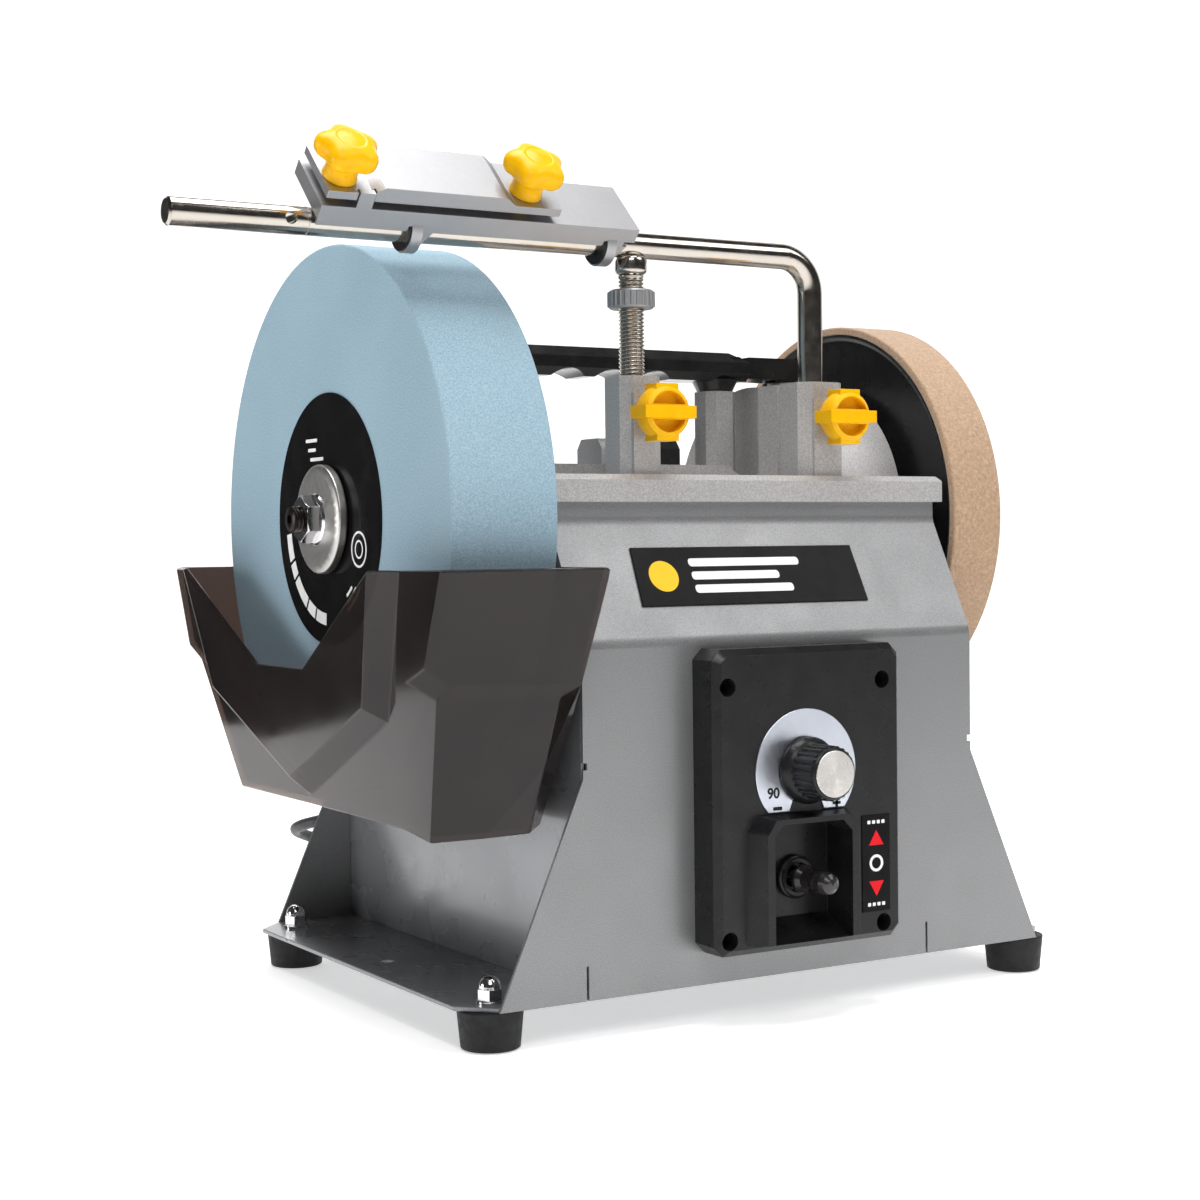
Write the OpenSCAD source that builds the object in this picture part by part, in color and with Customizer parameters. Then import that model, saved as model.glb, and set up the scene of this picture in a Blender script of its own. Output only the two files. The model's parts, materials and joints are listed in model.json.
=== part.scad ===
/* [Grinding wheel] */
// Diameter of the grinding wheel
wheel_d = 250; // [244:1:251]
// Width of the grinding wheel
wheel_w = 50; // [46:1:50]
// Diameter of the round label on the wheel
label_d = 116; // [100:1:130]
// Diameter of the outer clamping washer
washer_d = 50; // [44:1:54]

/* [Strop wheel] */
// Diameter of the leather strop wheel
strop_d = 200; // [180:1:204]
// Width of the strop wheel
strop_w = 30; // [26:1:30]
// Thickness of the leather band
leather_t = 4; // [3:0.5:6]

/* [Drive] */
// Height of the main shaft above the floor
shaft_z = 226; // [225:1:228]
// Diameter of the main shaft
shaft_d = 12; // [12:0.5:12.5]
// Diameter of the drive wheel with its tyre
drive_d = 120; // [112:1:121]
// Diameter of the motor's friction roller
roller_d = 18; // [16:1:20]
// Diameter of the motor's can
motor_d = 84; // [78:1:86]
// Length of the motor's can
motor_l = 118; // [100:1:120]

/* [Housing] */
// Width of the upper housing
body_w = 216; // [214:1:218]
// Width of the housing at the foot of its flared sheets
flare_w = 299; // [294:1:300]
// Thickness of the steel sheets
sheet_t = 1.6; // [1.2:0.1:2]
// Height of the rubber feet
foot_h = 17; // [15:1:18]
// Diameter of a rubber foot at its top
foot_d = 29; // [26:1:30]
// Distance between the two bench bolt holes
bench_pitch = 291; // [286:1:295]
// Diameter of a bench bolt hole
bench_hole_d = 7; // [6:0.5:8]

/* [Tool support] */
// Diameter of the support bar
bar_d = 12; // [12:0.5:12]
// Height of the bar's centre line above the floor
bar_z = 349; // [347:1:352]
// Distance between the two support posts
post_pitch = 101; // [98:1:103]
// Height of the tops of the support posts
post_top_z = 289; // [284:1:292]
// Tilt of the tool jig from the horizontal
jig_tilt = 44.5; // [40:0.5:48]
// Length of the jig's base plate
jig_l = 154; // [146:1:155]

/* [Water trough] */
// Height of the trough's rim above the floor
trough_rim_z = 203; // [200:1:205]
// Height of the trough's bottom above the floor
trough_base_z = 91; // [89:1:93]
// Thickness of the trough's walls
trough_t = 2.2; // [1.8:0.1:2.6]

/* [Control box] */
// Width of the control box
box_w = 103; // [101:1:105]
// Depth of the control box
box_t = 18; // [17:0.5:19]
// Diameter of the dial plate
dial_d = 55; // [50:1:56]

/* [Mains cord] */
// Diameter of the mains cord
cord_d = 6.5; // [6:0.5:7]
// Number of turns in the stored coil
coil_turns = 6; // [5:1:6]

/* [Hidden] */
$fn = 96;

// Running clearance on a radius
run_gap = 0.05;

// Stations along the shaft, from the middle of the housing
bar_left_x = -274;
shaft_left_x = -191;
shaft_right_x = 168;
wheel_x = -171.5;
strop_x = 116.5;
drive_x = 86;
drive_w = 20;
left_plate_x = -body_w / 2;
right_plate_x = 80;
hood_x = 64.5;
hood_w = 46;
hood_r = drive_d / 2 + 7;

// Faces of the housing
front_y = -120;
front_top_y = -93.4;
rear_y = 126;
rear_top_y = 99.4;
knob_front_y = -160;
trough_rear_y = 154;
plate_t = 2;
plate_z = foot_h + plate_t;
flare_z = 112.4;
bend_low_z = 170.4;
bend_high_z = 223;
cap_z = 231.8;
cap_top_z = 244.2;
cap_w = 222;
cap_front_y = -97;
cap_rear_y = 103;
gap = 0.2;

// The origin sits on the floor under the middle of the object's box
frame_x = (bar_left_x + shaft_right_x) / 2;
frame_y = (knob_front_y + trough_rear_y) / 2;

// Feet
foot_x = 147;
foot_y = 106;
foot_places = [for (x = [-foot_x, foot_x], y = [-foot_y, foot_y]) [x, y]];

// Posts of the tool support
post_y = -76.7;
post_x = [-54.2, -54.2 + post_pitch];
post_knob_z = 271.5;
post_face_y = post_y - 10.8;
post_face_right_y = post_y - 12;
leg_bottom_z = 205;
bar_r = bar_d / 2;
bend_r = 17;

// Handle
handle_y = 5;
handle_z = 295.5;
handle_top_z = 310;
column_x = [-80, 46.5];
column_top_z = 290.5;
lug_z = 296;
lug_top_z = 308;
lug_x = 91;

// Low boss on the cap, closed by a rubber plug
boss_x0 = -20;
plug_joint_x = 12;
boss_y = 20;

// Jig, in a frame that turns about the bar: u runs up the plate, n is its normal
jig_right_x = -58.4;
jig_left_x = jig_right_x - jig_l;
jig_front_u = -7.5;
jig_depth = 32.4;
jig_top_n = 13.6;
jig_plate_t = 7;
groove_x = -214.6;
ear_x = [-166.5, -70];
ear_w = 5;
ear_r = 10.5;
lip_n = 3.8;
lip_u = -6.3;
lip_right_x = -63.6;
bush_r = 8.5;
clamp_left_x = -211;
clamp_right_x = -101;
clamp_n = jig_top_n + 3.2;
clamp_end_n = jig_top_n + 7;
clamp_mid_n = jig_top_n + 10.4;
jig_knob_x = [-203, -115.3];
jig_knob_u = 4;
jig_knob_h = 20;
jig_screw_l = clamp_end_n - jig_top_n + jig_plate_t - 0.1;

// Motor, hung below and behind the main shaft
motor_angle = 20;
motor_gap = 0.15;
motor_reach = drive_d / 2 + roller_d / 2 + motor_gap;
motor_y = motor_reach * sin(motor_angle);
motor_z = shaft_z - motor_reach * cos(motor_angle);
motor_x = -66;

// Control box
box_x = -0.1;
box_z0 = 31.5;
box_z1 = 166.5;
box_face_y = front_y - box_t;
box_wall = 3;
box_corner = 4.8;
box_screw_x = [-45, 40];
box_screw_z = [38.8, 150];
box_boss_r = 5;
dial_x = -3.5;
dial_z = 111.4;
toggle_x = -3.5;
toggle_z = 62.5;
recess_y = -128;
toggle_pivot_y = -126;
recess_z0 = 38;
recess_z1 = 89;
recess_w = 42.4;
recess_x = toggle_x - 2.2;
surround_y = box_face_y - 9;

// Mains cord: hand-laid route of the stretch that isn't coiled
cord_r = cord_d / 2;
gland_x = -45;
gland_z = 66;
gland_l = 26;
coil_mid_d = 72;
coil_rows = 2;
coil_x = 29;
coil_y = 241;
plug_x = 72;
plug_y = 198.5;
plug_r = 18;
cord_route = [
  [-45, 152, 66], [-45, 159, 66], [-47, 168, 65.9], [-53, 177, 65.6], [-62, 183, 65],
  [-73, 185.5, 64], [-86, 188.5, 62], [-96, 198, 59.2], [-100, 211, 55.6], [-97, 225, 51.4],
  [-87, 235, 46.6], [-74, 239, 41.6], [-61, 238, 36], [-48, 233, 30], [-36, 226, 24],
  [-25, 218, 18], [-14, 210, 12], [-3, 203.5, 7.2], [9, 199.5, 4.3], [21, 198.5, 3.3],
  [29, 198.5, 3.3]
];
// The short run from the coil's top turn to the plug
plug_route = [
  [29, 198.5, 9.8], [38, 198.5, 10], [47, 198.5, 11.6], [56, 198.5, 14.4],
  [65, 198.5, 17], [72, 198.5, 18]
];

// Shared shapes

// Moves the machine so that its floor point is the origin
module in_frame() {
  translate([-frame_x, -frame_y, 0]) children();
}

// Extrudes a Y-Z outline along X from x0
module along_x(x0, length) {
  translate([x0, 0, 0]) rotate([90, 0, 90]) linear_extrude(length) children();
}

// Extrudes an X-Z outline along Y, ending at y1
module along_y(y1, length) {
  translate([0, y1, 0]) rotate([90, 0, 0]) linear_extrude(length) children();
}

// A round bar along X from x0, centred on y and z
module rod_x(x0, length, r, y = 0, z = shaft_z) {
  translate([x0, y, z]) rotate([0, 90, 0]) cylinder(r = r, h = length);
}

// A round bar running towards the front from y0
module rod_y(y0, length, r, x, z) {
  translate([x, y0, z]) rotate([90, 0, 0]) cylinder(r = r, h = length);
}

// A round bar along Z from z0
module rod_z(z0, length, r, x, y) {
  translate([x, y, z0]) cylinder(r = r, h = length);
}

// A turned shape on the shaft axis: its profile is [radius, x]
module turned_x(points, y = 0, z = shaft_z) {
  translate([0, y, z]) rotate([0, 90, 0]) rotate_extrude() polygon(points);
}

// A turned shape whose axis runs to the front: its profile is [radius, distance]
module turned_y(points, x, y, z) {
  translate([x, y, z]) rotate([90, 0, 0]) rotate_extrude() polygon(points);
}

// A box given by its low and high corners
module block(low, high) {
  translate(low) cube(high - low);
}

// A rectangle with cut corners
module cut_rect(w, d, c) {
  polygon([
    [-w / 2 + c, -d / 2], [w / 2 - c, -d / 2], [w / 2, -d / 2 + c], [w / 2, d / 2 - c],
    [w / 2 - c, d / 2], [-w / 2 + c, d / 2], [-w / 2, d / 2 - c], [-w / 2, -d / 2 + c]
  ]);
}

// A hexagonal prism along X
module hex_x(x0, length, across) {
  translate([x0, 0, shaft_z]) rotate([0, 90, 0])
    cylinder(d = across / cos(30), h = length, $fn = 6);
}

// Housing sheets

// Outline of a wrap-round sheet seen from the front, with its flared wings
module sheet_outline() {
  half = body_w / 2;
  wing = flare_w / 2;
  polygon([
    [-wing, foot_h], [wing, foot_h], [half, flare_z], [half, cap_z],
    [-half, cap_z], [-half, flare_z]
  ]);
}

// Section of a bent sheet: low face at y_low, top face at y_top, thickness inwards
module sheet_section(y_low, y_top, inward) {
  t = sheet_t * inward;
  polygon([
    [y_low, foot_h], [y_low, bend_low_z], [y_top, bend_high_z], [y_top, cap_z],
    [y_top + t, cap_z], [y_top + t, bend_high_z], [y_low + t, bend_low_z],
    [y_low + t, foot_h]
  ]);
}

// Relief slots beside the side plates and small notches where the wings start
module sheet_reliefs(y0) {
  for (x = [-106.8, right_plate_x])
    block([x - 0.6, y0 - 3, foot_h - 1], [x + 0.6, y0 + 3, foot_h + 15]);
  for (s = [-1, 1])
    block([s * body_w / 2 - 2, y0 - 3, flare_z + 4], [s * body_w / 2 + 2, y0 + 3, flare_z + 7]);
}

module front_sheet() {
  color([0.62, 0.63, 0.64]) in_frame() difference() {
    intersection() {
      along_x(-flare_w / 2, flare_w) sheet_section(front_y, front_top_y, 1);
      along_y(front_top_y + 5, 40) sheet_outline();
    }
    sheet_reliefs(front_y);
    block([box_x - 34, front_y - 1, box_z0 + 14], [box_x + 34, front_y + 3, box_z1 - 24]);
    for (x = box_screw_x, z = box_screw_z) rod_y(front_y + 3, 6, 2.2, x, z);
  }
}

module rear_sheet() {
  color([0.6, 0.61, 0.62]) in_frame() difference() {
    intersection() {
      along_x(-flare_w / 2, flare_w) sheet_section(rear_y, rear_top_y, -1);
      along_y(rear_y + 5, 40) sheet_outline();
    }
    sheet_reliefs(rear_y);
    for (i = [0:6], row = [0, 1]) {
      x = -48 + 16 * i;
      block([x - 2, rear_y - 3, 92 + 32 * row], [x + 2, rear_y + 3, 114 + 32 * row]);
    }
    rod_y(rear_y + 3, 6, 7.05, gland_x, gland_z);
  }
}

// A side plate stands on the base plate between the two sheets
module side_plate(x0) {
  y_low = [front_y + sheet_t + gap, rear_y - sheet_t - gap];
  y_top = [front_top_y + sheet_t + gap, rear_top_y - sheet_t - gap];
  difference() {
    along_x(x0, sheet_t) polygon([
      [y_low[0], plate_z], [y_low[0], bend_low_z], [y_top[0], bend_high_z], [y_top[0], cap_z],
      [y_top[1], cap_z], [y_top[1], bend_high_z], [y_low[1], bend_low_z], [y_low[1], plate_z]
    ]);
    block([x0 - 1, -24, 202], [x0 + 3, 24, cap_z + 1]);
    rod_x(x0 - 1, 4, 12, motor_y, motor_z);
  }
}

module left_side_plate() {
  color([0.5, 0.51, 0.52]) in_frame() side_plate(left_plate_x);
}

module right_side_plate() {
  color([0.5, 0.51, 0.52]) in_frame() side_plate(right_plate_x);
}

module base_plate() {
  y0 = front_y + sheet_t + gap;
  y1 = rear_y - sheet_t - gap;
  wing = flare_w / 2;
  tab = 14;
  color([0.55, 0.56, 0.57]) in_frame() difference() {
    translate([0, 0, foot_h]) linear_extrude(plate_t) polygon([
      [-wing, y0], [wing, y0], [wing + tab, y0 + tab], [wing + tab, y1 - tab],
      [wing, y1], [-wing, y1], [-wing - tab, y1 - tab], [-wing - tab, y0 + tab]
    ]);
    for (x = [-bench_pitch / 2, bench_pitch / 2])
      rod_z(foot_h - 1, plate_t + 2, bench_hole_d / 2, x, 0);
    for (p = foot_places) rod_z(foot_h - 1, plate_t + 2, 3.2, p[0], p[1]);
  }
}

// Feet and their fasteners

module rubber_feet() {
  r = foot_d / 2;
  color([0.06, 0.06, 0.06]) in_frame() for (p = foot_places)
    translate([p[0], p[1], 0]) rotate_extrude() polygon([
      [7, 0], [r - 2.2, 0], [r - 1.6, 0.6], [r, foot_h], [3.2, foot_h], [3.2, 9], [7, 9]
    ]);
}

module foot_bolts() {
  color([0.7, 0.7, 0.7]) in_frame() for (p = foot_places) {
    rod_z(5, 4, 5.5, p[0], p[1]);
    rod_z(8, plate_z, 2.95, p[0], p[1]);
  }
}

module acorn_nuts() {
  color([0.8, 0.8, 0.8]) in_frame() for (p = foot_places) translate([p[0], p[1], plate_z])
    difference() {
      union() {
        cylinder(r = 6, h = 1.2);
        translate([0, 0, 1.2]) cylinder(d = 10 / cos(30), h = 5, $fn = 6);
        translate([0, 0, 6]) rotate_extrude() polygon([
          [0, 0], [4.8, 0], [4.6, 2], [3.8, 3.8], [2.4, 5], [0.9, 5.5], [0, 5.5]
        ]);
      }
      translate([0, 0, -1]) cylinder(r = 3, h = 9.2);
    }
}

// Top casting: cap, posts, hood, bearing blocks and handle columns

module cap_slab() {
  difference() {
    intersection() {
      along_x(-cap_w / 2, cap_w) polygon([
        [cap_front_y, cap_z], [cap_front_y, cap_top_z - 2.6], [cap_front_y + 2.6, cap_top_z],
        [cap_rear_y - 2.6, cap_top_z], [cap_rear_y, cap_top_z - 2.6], [cap_rear_y, cap_z]
      ]);
      along_y(cap_rear_y + 1, 220) polygon([
        [-cap_w / 2, cap_z], [-cap_w / 2, cap_top_z - 2], [-cap_w / 2 + 2, cap_top_z],
        [cap_w / 2 - 2, cap_top_z], [cap_w / 2, cap_top_z - 2], [cap_w / 2, cap_z]
      ]);
    }
    block([-100, -86, cap_z - 1], [60, 92, cap_top_z - 4.5]);
  }
}

// A post with a bore for a leg of the support bar and a pad for its clamp knob
module post_body(x, left) {
  translate([x, post_y, cap_z]) linear_extrude(post_top_z - cap_z)
    cut_rect(left ? 21.6 : 26, left ? 21.6 : 24, left ? 4.5 : 5);
  rod_z(216, cap_z - 215, 10, x, post_y);
  face = left ? post_face_y : post_face_right_y;
  pad = left ? 14 : 16;
  block([x - pad / 2, face - 1.6, cap_top_z - 2], [x + pad / 2, face + 2, post_top_z - 8]);
  if (!left)
    translate([x, post_y + 20, cap_z]) linear_extrude(post_top_z - cap_z)
      cut_rect(22, 24, 4);
}

// Section of the low boss and of the rubber plug that closes its end
module boss_outline(z0) {
  top = cap_top_z + 22;
  polygon([
    [boss_y - 12, z0], [boss_y + 12, z0], [boss_y + 12, top - 5], [boss_y + 8, top],
    [boss_y - 8, top], [boss_y - 12, top - 5]
  ]);
}

module bearing_block(x0, length) {
  block([x0, -20, 208], [x0 + length, 20, cap_top_z - 3]);
}

module top_casting() {
  color([0.68, 0.68, 0.68]) in_frame() difference() {
    union() {
      difference() {
        union() {
          cap_slab();
          intersection() {
            rod_x(hood_x, hood_w, hood_r);
            block([0, -80, cap_z + 4], [120, 80, 320]);
          }
        }
        rod_x(hood_x + 3, hood_w - 6, hood_r - 4);
      }
      bearing_block(-104, 26);
      bearing_block(36, 28);
      post_body(post_x[0], true);
      post_body(post_x[1], false);
      for (x = column_x) translate([x, handle_y, cap_top_z - 3])
        linear_extrude(column_top_z - cap_top_z + 3) cut_rect(18, 18, 4);
      rod_z(shaft_z + hood_r - 3.6, 6.6, 9, lug_x, handle_y);
      along_y(60, 118) polygon([
        [-100, cap_top_z - 2], [-100, cap_top_z + 4], [-98, cap_top_z + 6],
        [10, cap_top_z + 6], [24, cap_top_z - 2]
      ]);
      along_x(boss_x0, plug_joint_x - boss_x0) boss_outline(cap_top_z - 1);
    }
    block([plug_joint_x, 7, cap_top_z], [plug_joint_x + 18, 33, cap_top_z + 8]);
    rod_x(plug_joint_x - 10, 12, 4, boss_y, cap_top_z + 13);
    for (x = post_x) rod_z(210, 100, bar_r + run_gap, x, post_y);
    for (x = post_x) rod_y(post_y, 30, 3 + run_gap, x, post_knob_z);
    rod_x(-115, 50, 10);
    rod_x(30, 36, 10);
    rod_x(hood_x - 0.5, 60, 17);
    for (x = column_x) rod_z(270, 40, 2.1, x, handle_y);
    rod_z(280, 30, 2.1, lug_x, handle_y);
  }
}

module shaft_bushes() {
  color([0.72, 0.55, 0.28]) in_frame() for (x0 = [-104, 36])
    turned_x([
      [shaft_d / 2 + run_gap, x0], [10, x0], [10, x0 + 26], [shaft_d / 2 + run_gap, x0 + 26]
    ]);
}

// Carrying handle

module carry_handle() {
  color([0.08, 0.08, 0.09]) in_frame() difference() {
    union() {
      along_x(-94, 154) polygon([
        [-8, handle_z + 4], [-4, handle_z], [14, handle_z], [18, handle_z + 4],
        [18, handle_top_z - 5], [13, handle_top_z], [-3, handle_top_z], [-8, handle_top_z - 5]
      ]);
      for (x = column_x) translate([x, handle_y, column_top_z])
        cylinder(r1 = 9, r2 = 12, h = handle_z - column_top_z + 1);
      block([50, handle_y - 11.5, lug_z + 1], [lug_x, handle_y + 11.5, lug_top_z]);
      rod_z(lug_z, lug_top_z - lug_z, 11.5, lug_x, handle_y);
    }
    for (i = [0:2]) rod_y(30, 60, 14, -46 + 25 * i, handle_z - 10.4);
    along_y(30, 60) polygon([
      [60.5, handle_top_z - 5], [60.5, 330], [40, 330], [50, handle_top_z]
    ]);
    for (x = column_x) {
      rod_z(column_top_z - 5, 30, 2.4, x, handle_y);
      rod_z(handle_top_z - 5, 10, 4.6, x, handle_y);
    }
    rod_z(290, 30, 2.4, lug_x, handle_y);
    rod_z(lug_top_z - 5, 10, 4.6, lug_x, handle_y);
  }
}

module handle_screw(x, top) {
  rod_z(top, 3, 4.2, x, handle_y);
  rod_z(275, top - 274.5, 2, x, handle_y);
}

module handle_screws() {
  color([0.25, 0.25, 0.26]) in_frame() {
    for (x = column_x) handle_screw(x, handle_top_z - 5);
    rod_z(lug_top_z - 5, 3, 4.2, lug_x, handle_y);
    rod_z(290.2, lug_top_z - 294.7, 2, lug_x, handle_y);
  }
}

module access_plug() {
  color([0.05, 0.05, 0.05]) in_frame() {
    along_x(plug_joint_x + 0.02, 15) boss_outline(cap_top_z + 0.02);
    rod_x(plug_joint_x - 9, 10, 3.9, boss_y, cap_top_z + 13);
  }
}

module badge_plate() {
  slope = atan((front_top_y - front_y) / (bend_high_z - bend_low_z));
  color([0.1, 0.1, 0.1]) in_frame()
    translate([0, front_y, bend_low_z]) rotate([90 - slope, 0, 0]) translate([0, 0, 0.05])
      linear_extrude(0.8) polygon([[-72.5, 16.5], [52.2, 16.5], [51.4, 45.5], [-71, 45.5]]);
}

// Control box

// Front outline of the box, drawn in by inset, with cut corners
module box_outline(inset) {
  translate([box_x, (box_z0 + box_z1) / 2])
    cut_rect(box_w - 2 * inset, box_z1 - box_z0 - 2 * inset, box_corner - inset / 2);
}

// Outer form of the box: full outline at the back, a bevel round the front face
module box_form() {
  hull() {
    along_y(front_y, box_t - 3.5) box_outline(0);
    along_y(front_y, box_t) box_outline(3);
  }
}

// Raised frame round the toggle recess
module surround_form() {
  half = recess_w / 2;
  hull() {
    along_y(box_face_y + 1, 1) polygon([
      [recess_x - half - 9, 35.5], [recess_x + half + 9, 35.5], [recess_x + half + 9, 85.5],
      [recess_x + half + 3, 93], [recess_x - half - 3, 93], [recess_x - half - 9, 85.5]
    ]);
    along_y(surround_y + 1, 1) polygon([
      [recess_x - half - 4, 36.5], [recess_x + half + 4, 36.5], [recess_x + half + 4, 84.5],
      [recess_x + half - 1, 91.5], [recess_x - half + 1, 91.5], [recess_x - half - 4, 84.5]
    ]);
  }
}

// Height of the recess's sloping floor, which levels out near the front
function recess_floor(y) = max(recess_z0 - 1.5, recess_z0 + 7 - 0.57 * (recess_y - y));

// Space of the toggle recess, widened by grow, from its back wall to y_front
module recess_space(grow, y_front) {
  half = recess_w / 2 + grow;
  y_level = max(surround_y + 4, y_front + 1);
  intersection() {
    along_x(recess_x - half, 2 * half) polygon([
      [recess_y + grow, recess_floor(recess_y) - grow], [recess_y + grow, recess_z1 + grow],
      [y_front, recess_z1 + grow], [y_front, recess_floor(y_front) - grow],
      [y_level, recess_floor(y_level) - grow]
    ]);
    along_y(-100, 80) polygon([
      [recess_x - half, 30], [recess_x + half, 30], [recess_x + half, recess_z1 - 5],
      [recess_x + half - 5, recess_z1 + grow], [recess_x - half + 5, recess_z1 + grow],
      [recess_x - half, recess_z1 - 5]
    ]);
  }
}

module control_box() {
  color([0.07, 0.07, 0.08]) in_frame() difference() {
    union() {
      difference() {
        union() {
          box_form();
          surround_form();
        }
        along_y(front_y + 1, box_t + 1 - box_wall) box_outline(box_wall + 0.5);
      }
      recess_space(2.5, box_face_y - 1);
      for (x = box_screw_x, z = box_screw_z)
        translate([x, front_y, z]) rotate([90, 0, 0]) cylinder(r = box_boss_r, h = box_t - 2);
    }
    recess_space(0, surround_y - 5);
    rod_y(front_y, 20, 6.1, toggle_x, toggle_z);
    rod_y(front_y, 30, 3.6, dial_x, dial_z);
    for (x = box_screw_x, z = box_screw_z) {
      rod_y(front_y + 1, 30, 2.2, x, z);
      rod_y(front_y - 6, 20, 4, x, z);
    }
  }
}

module box_screws() {
  color([0.2, 0.2, 0.2]) in_frame() for (x = box_screw_x, z = box_screw_z) {
    rod_y(front_y - 6, 2.6, 3.6, x, z);
    rod_y(front_y + 6, 12.5, 2, x, z);
  }
}

module dial_plate() {
  r = dial_d / 2;
  color([0.82, 0.84, 0.88]) in_frame() difference() {
    rod_y(box_face_y - 0.02, 0.6, r, dial_x, dial_z);
    block([dial_x - r - 1, box_face_y - 2, dial_z - r - 1],
          [dial_x + r + 1, box_face_y + 1, dial_z - 17.8]);
    along_y(box_face_y + 1, 3) polygon([
      [dial_x - 10, dial_z - 19], [dial_x + 10, dial_z - 19],
      [dial_x + 7.5, dial_z - 12.5], [dial_x - 7.5, dial_z - 12.5]
    ]);
    rod_y(box_face_y + 1, 4, 5, dial_x, dial_z);
  }
}

module potentiometer() {
  color([0.3, 0.45, 0.3]) in_frame() difference() {
    union() {
      rod_y(box_face_y + 13, 13 - box_wall, 8.5, dial_x, dial_z);
      rod_y(box_face_y + box_wall + 1, box_wall + 1.4, 3.55, dial_x, dial_z);
    }
    rod_y(box_face_y + 6, 20, 3 + run_gap, dial_x, dial_z);
  }
}

module switch_label() {
  color([0.05, 0.05, 0.05]) in_frame()
    block([toggle_x + 31, box_face_y - 0.5, 44.2], [toggle_x + 47, box_face_y - 0.02, 88.5]);
}

module toggle_switch() {
  color([0.15, 0.15, 0.16]) in_frame() difference() {
    union() {
      block([toggle_x - 8, recess_y + 2.6, toggle_z - 13],
            [toggle_x + 8, recess_y + 28, toggle_z + 13]);
      rod_y(recess_y + 3, 3.5, 6, toggle_x, toggle_z);
    }
    rod_y(recess_y + 12, 20, 4.9, toggle_x, toggle_z);
  }
}

module toggle_collar() {
  color([0.05, 0.05, 0.05]) in_frame() turned_y([
    [6.6, 0.02], [9.8, 0.02], [9.8, 2.6], [8.6, 3.2], [8.6, 4], [6.6, 4]
  ], toggle_x, recess_y, toggle_z);
}

// Electrics and motor inside the housing

module control_board() {
  color([0.1, 0.35, 0.15]) in_frame() {
    block([-70, -92, 28], [0, -40, 29.6]);
    for (x = [-66, -4], y = [-88, -44]) rod_z(plate_z, 9.5, 3, x, y);
    rod_z(29.5, 26, 11, -50, -64);
    rod_z(29.5, 20, 8, -24, -58);
    block([-40, -84, 29.5], [-8, -76, 50]);
  }
}

module motor_housing() {
  r = motor_d / 2;
  end = motor_x + motor_l;
  color([0.35, 0.36, 0.38]) in_frame() turned_x([
    [5 + run_gap, motor_x - 6], [14, motor_x - 6], [14, motor_x], [r - 4, motor_x],
    [r, motor_x + 4], [r, end - 4], [r - 4, end], [14, end], [14, end + 6],
    [5 + run_gap, end + 6], [5 + run_gap, end - 4], [r - 5, end - 4],
    [r - 5, motor_x + 4], [5 + run_gap, motor_x + 4]
  ], motor_y, motor_z);
}

module motor_stator() {
  r = motor_d / 2 - 5 - run_gap;
  color([0.6, 0.4, 0.25]) in_frame() turned_x([
    [23, motor_x + 22], [r, motor_x + 22], [r, motor_x + motor_l - 22],
    [23, motor_x + motor_l - 22]
  ], motor_y, motor_z);
}

module motor_bracket() {
  color([0.4, 0.41, 0.42]) in_frame() difference() {
    union() {
      for (x = [-44, 28])
        block([x, motor_y - 36, plate_z], [x + 5, motor_y + 36, motor_z - 14]);
      block([-50, motor_y - 40, plate_z], [40, motor_y + 40, plate_z + 3]);
    }
    rod_x(-60, 110, motor_d / 2 + run_gap, motor_y, motor_z);
  }
}

// Rotating group of the motor
module motor_rotor() {
  color([0.5, 0.5, 0.52]) in_frame() {
    rod_x(motor_x - 5, drive_x + drive_w - motor_x + 5, 5, motor_y, motor_z);
    rod_x(motor_x + 24, motor_l - 48, 22, motor_y, motor_z);
  }
}

module drive_roller() {
  color([0.2, 0.2, 0.2]) in_frame() turned_x([
    [5, drive_x], [roller_d / 2, drive_x], [roller_d / 2, drive_x + drive_w],
    [5, drive_x + drive_w]
  ], motor_y, motor_z);
}

module trough_hanger() {
  x1 = left_plate_x - 0.02;
  color([0.7, 0.7, 0.72]) in_frame() for (y = [-66, 66])
    block([x1 - 3, y - 6, 128], [x1, y + 6, 192]);
}

// Mains cord and what is on it

module cord_gland() {
  color([0.05, 0.05, 0.05]) in_frame() rotate([0, 0, 180])
    turned_y([
      [cord_r, -8], [7, -8], [7, 0.02], [9.5, 0.02], [9.5, 3.5], [6.6, 4.5],
      [4.6, gland_l], [cord_r, gland_l]
    ], -gland_x, -rear_y, gland_z);
}

// Unit vector, and the frame that a cord's ring lies in
function unit(v) = v / norm(v);
function along(path, i) = unit(path[min(i + 1, len(path) - 1)] - path[max(i - 1, 0)]);
function ring_side(t) = unit(cross(t, [0, 0, 1]));
function ring(path, i, r, n) = let (t = along(path, i), s = ring_side(t), u = cross(s, t))
  [for (k = [0:n - 1]) path[i] + r * (cos(360 * k / n) * s + sin(360 * k / n) * u)];

// A round tube swept along a path of points
module tube(path, r, n) {
  rings = [for (i = [0:len(path) - 1]) each ring(path, i, r, n)];
  last = (len(path) - 1) * n;
  sides = [for (i = [0:len(path) - 2], k = [0:n - 1])
    [i * n + k, i * n + (k + 1) % n, (i + 1) * n + (k + 1) % n, (i + 1) * n + k]];
  polyhedron(points = rings, convexity = 6, faces = concat(
    [[for (k = [n - 1:-1:0]) k]], sides, [[for (k = [0:n - 1]) last + k]]
  ));
}

module mains_cord() {
  color([0.05, 0.05, 0.05]) in_frame() tube(cord_route, cord_r, 10);
}

// Outer shape of the coil: turns side by side in two layers
module cord_coil() {
  across = coil_turns / coil_rows * cord_d;
  inner = coil_mid_d / 2 - across / 2;
  color([0.05, 0.05, 0.05]) in_frame() translate([coil_x, coil_y, 0.05]) rotate_extrude()
    translate([inner, 0]) square([across, coil_rows * cord_d]);
}

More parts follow.
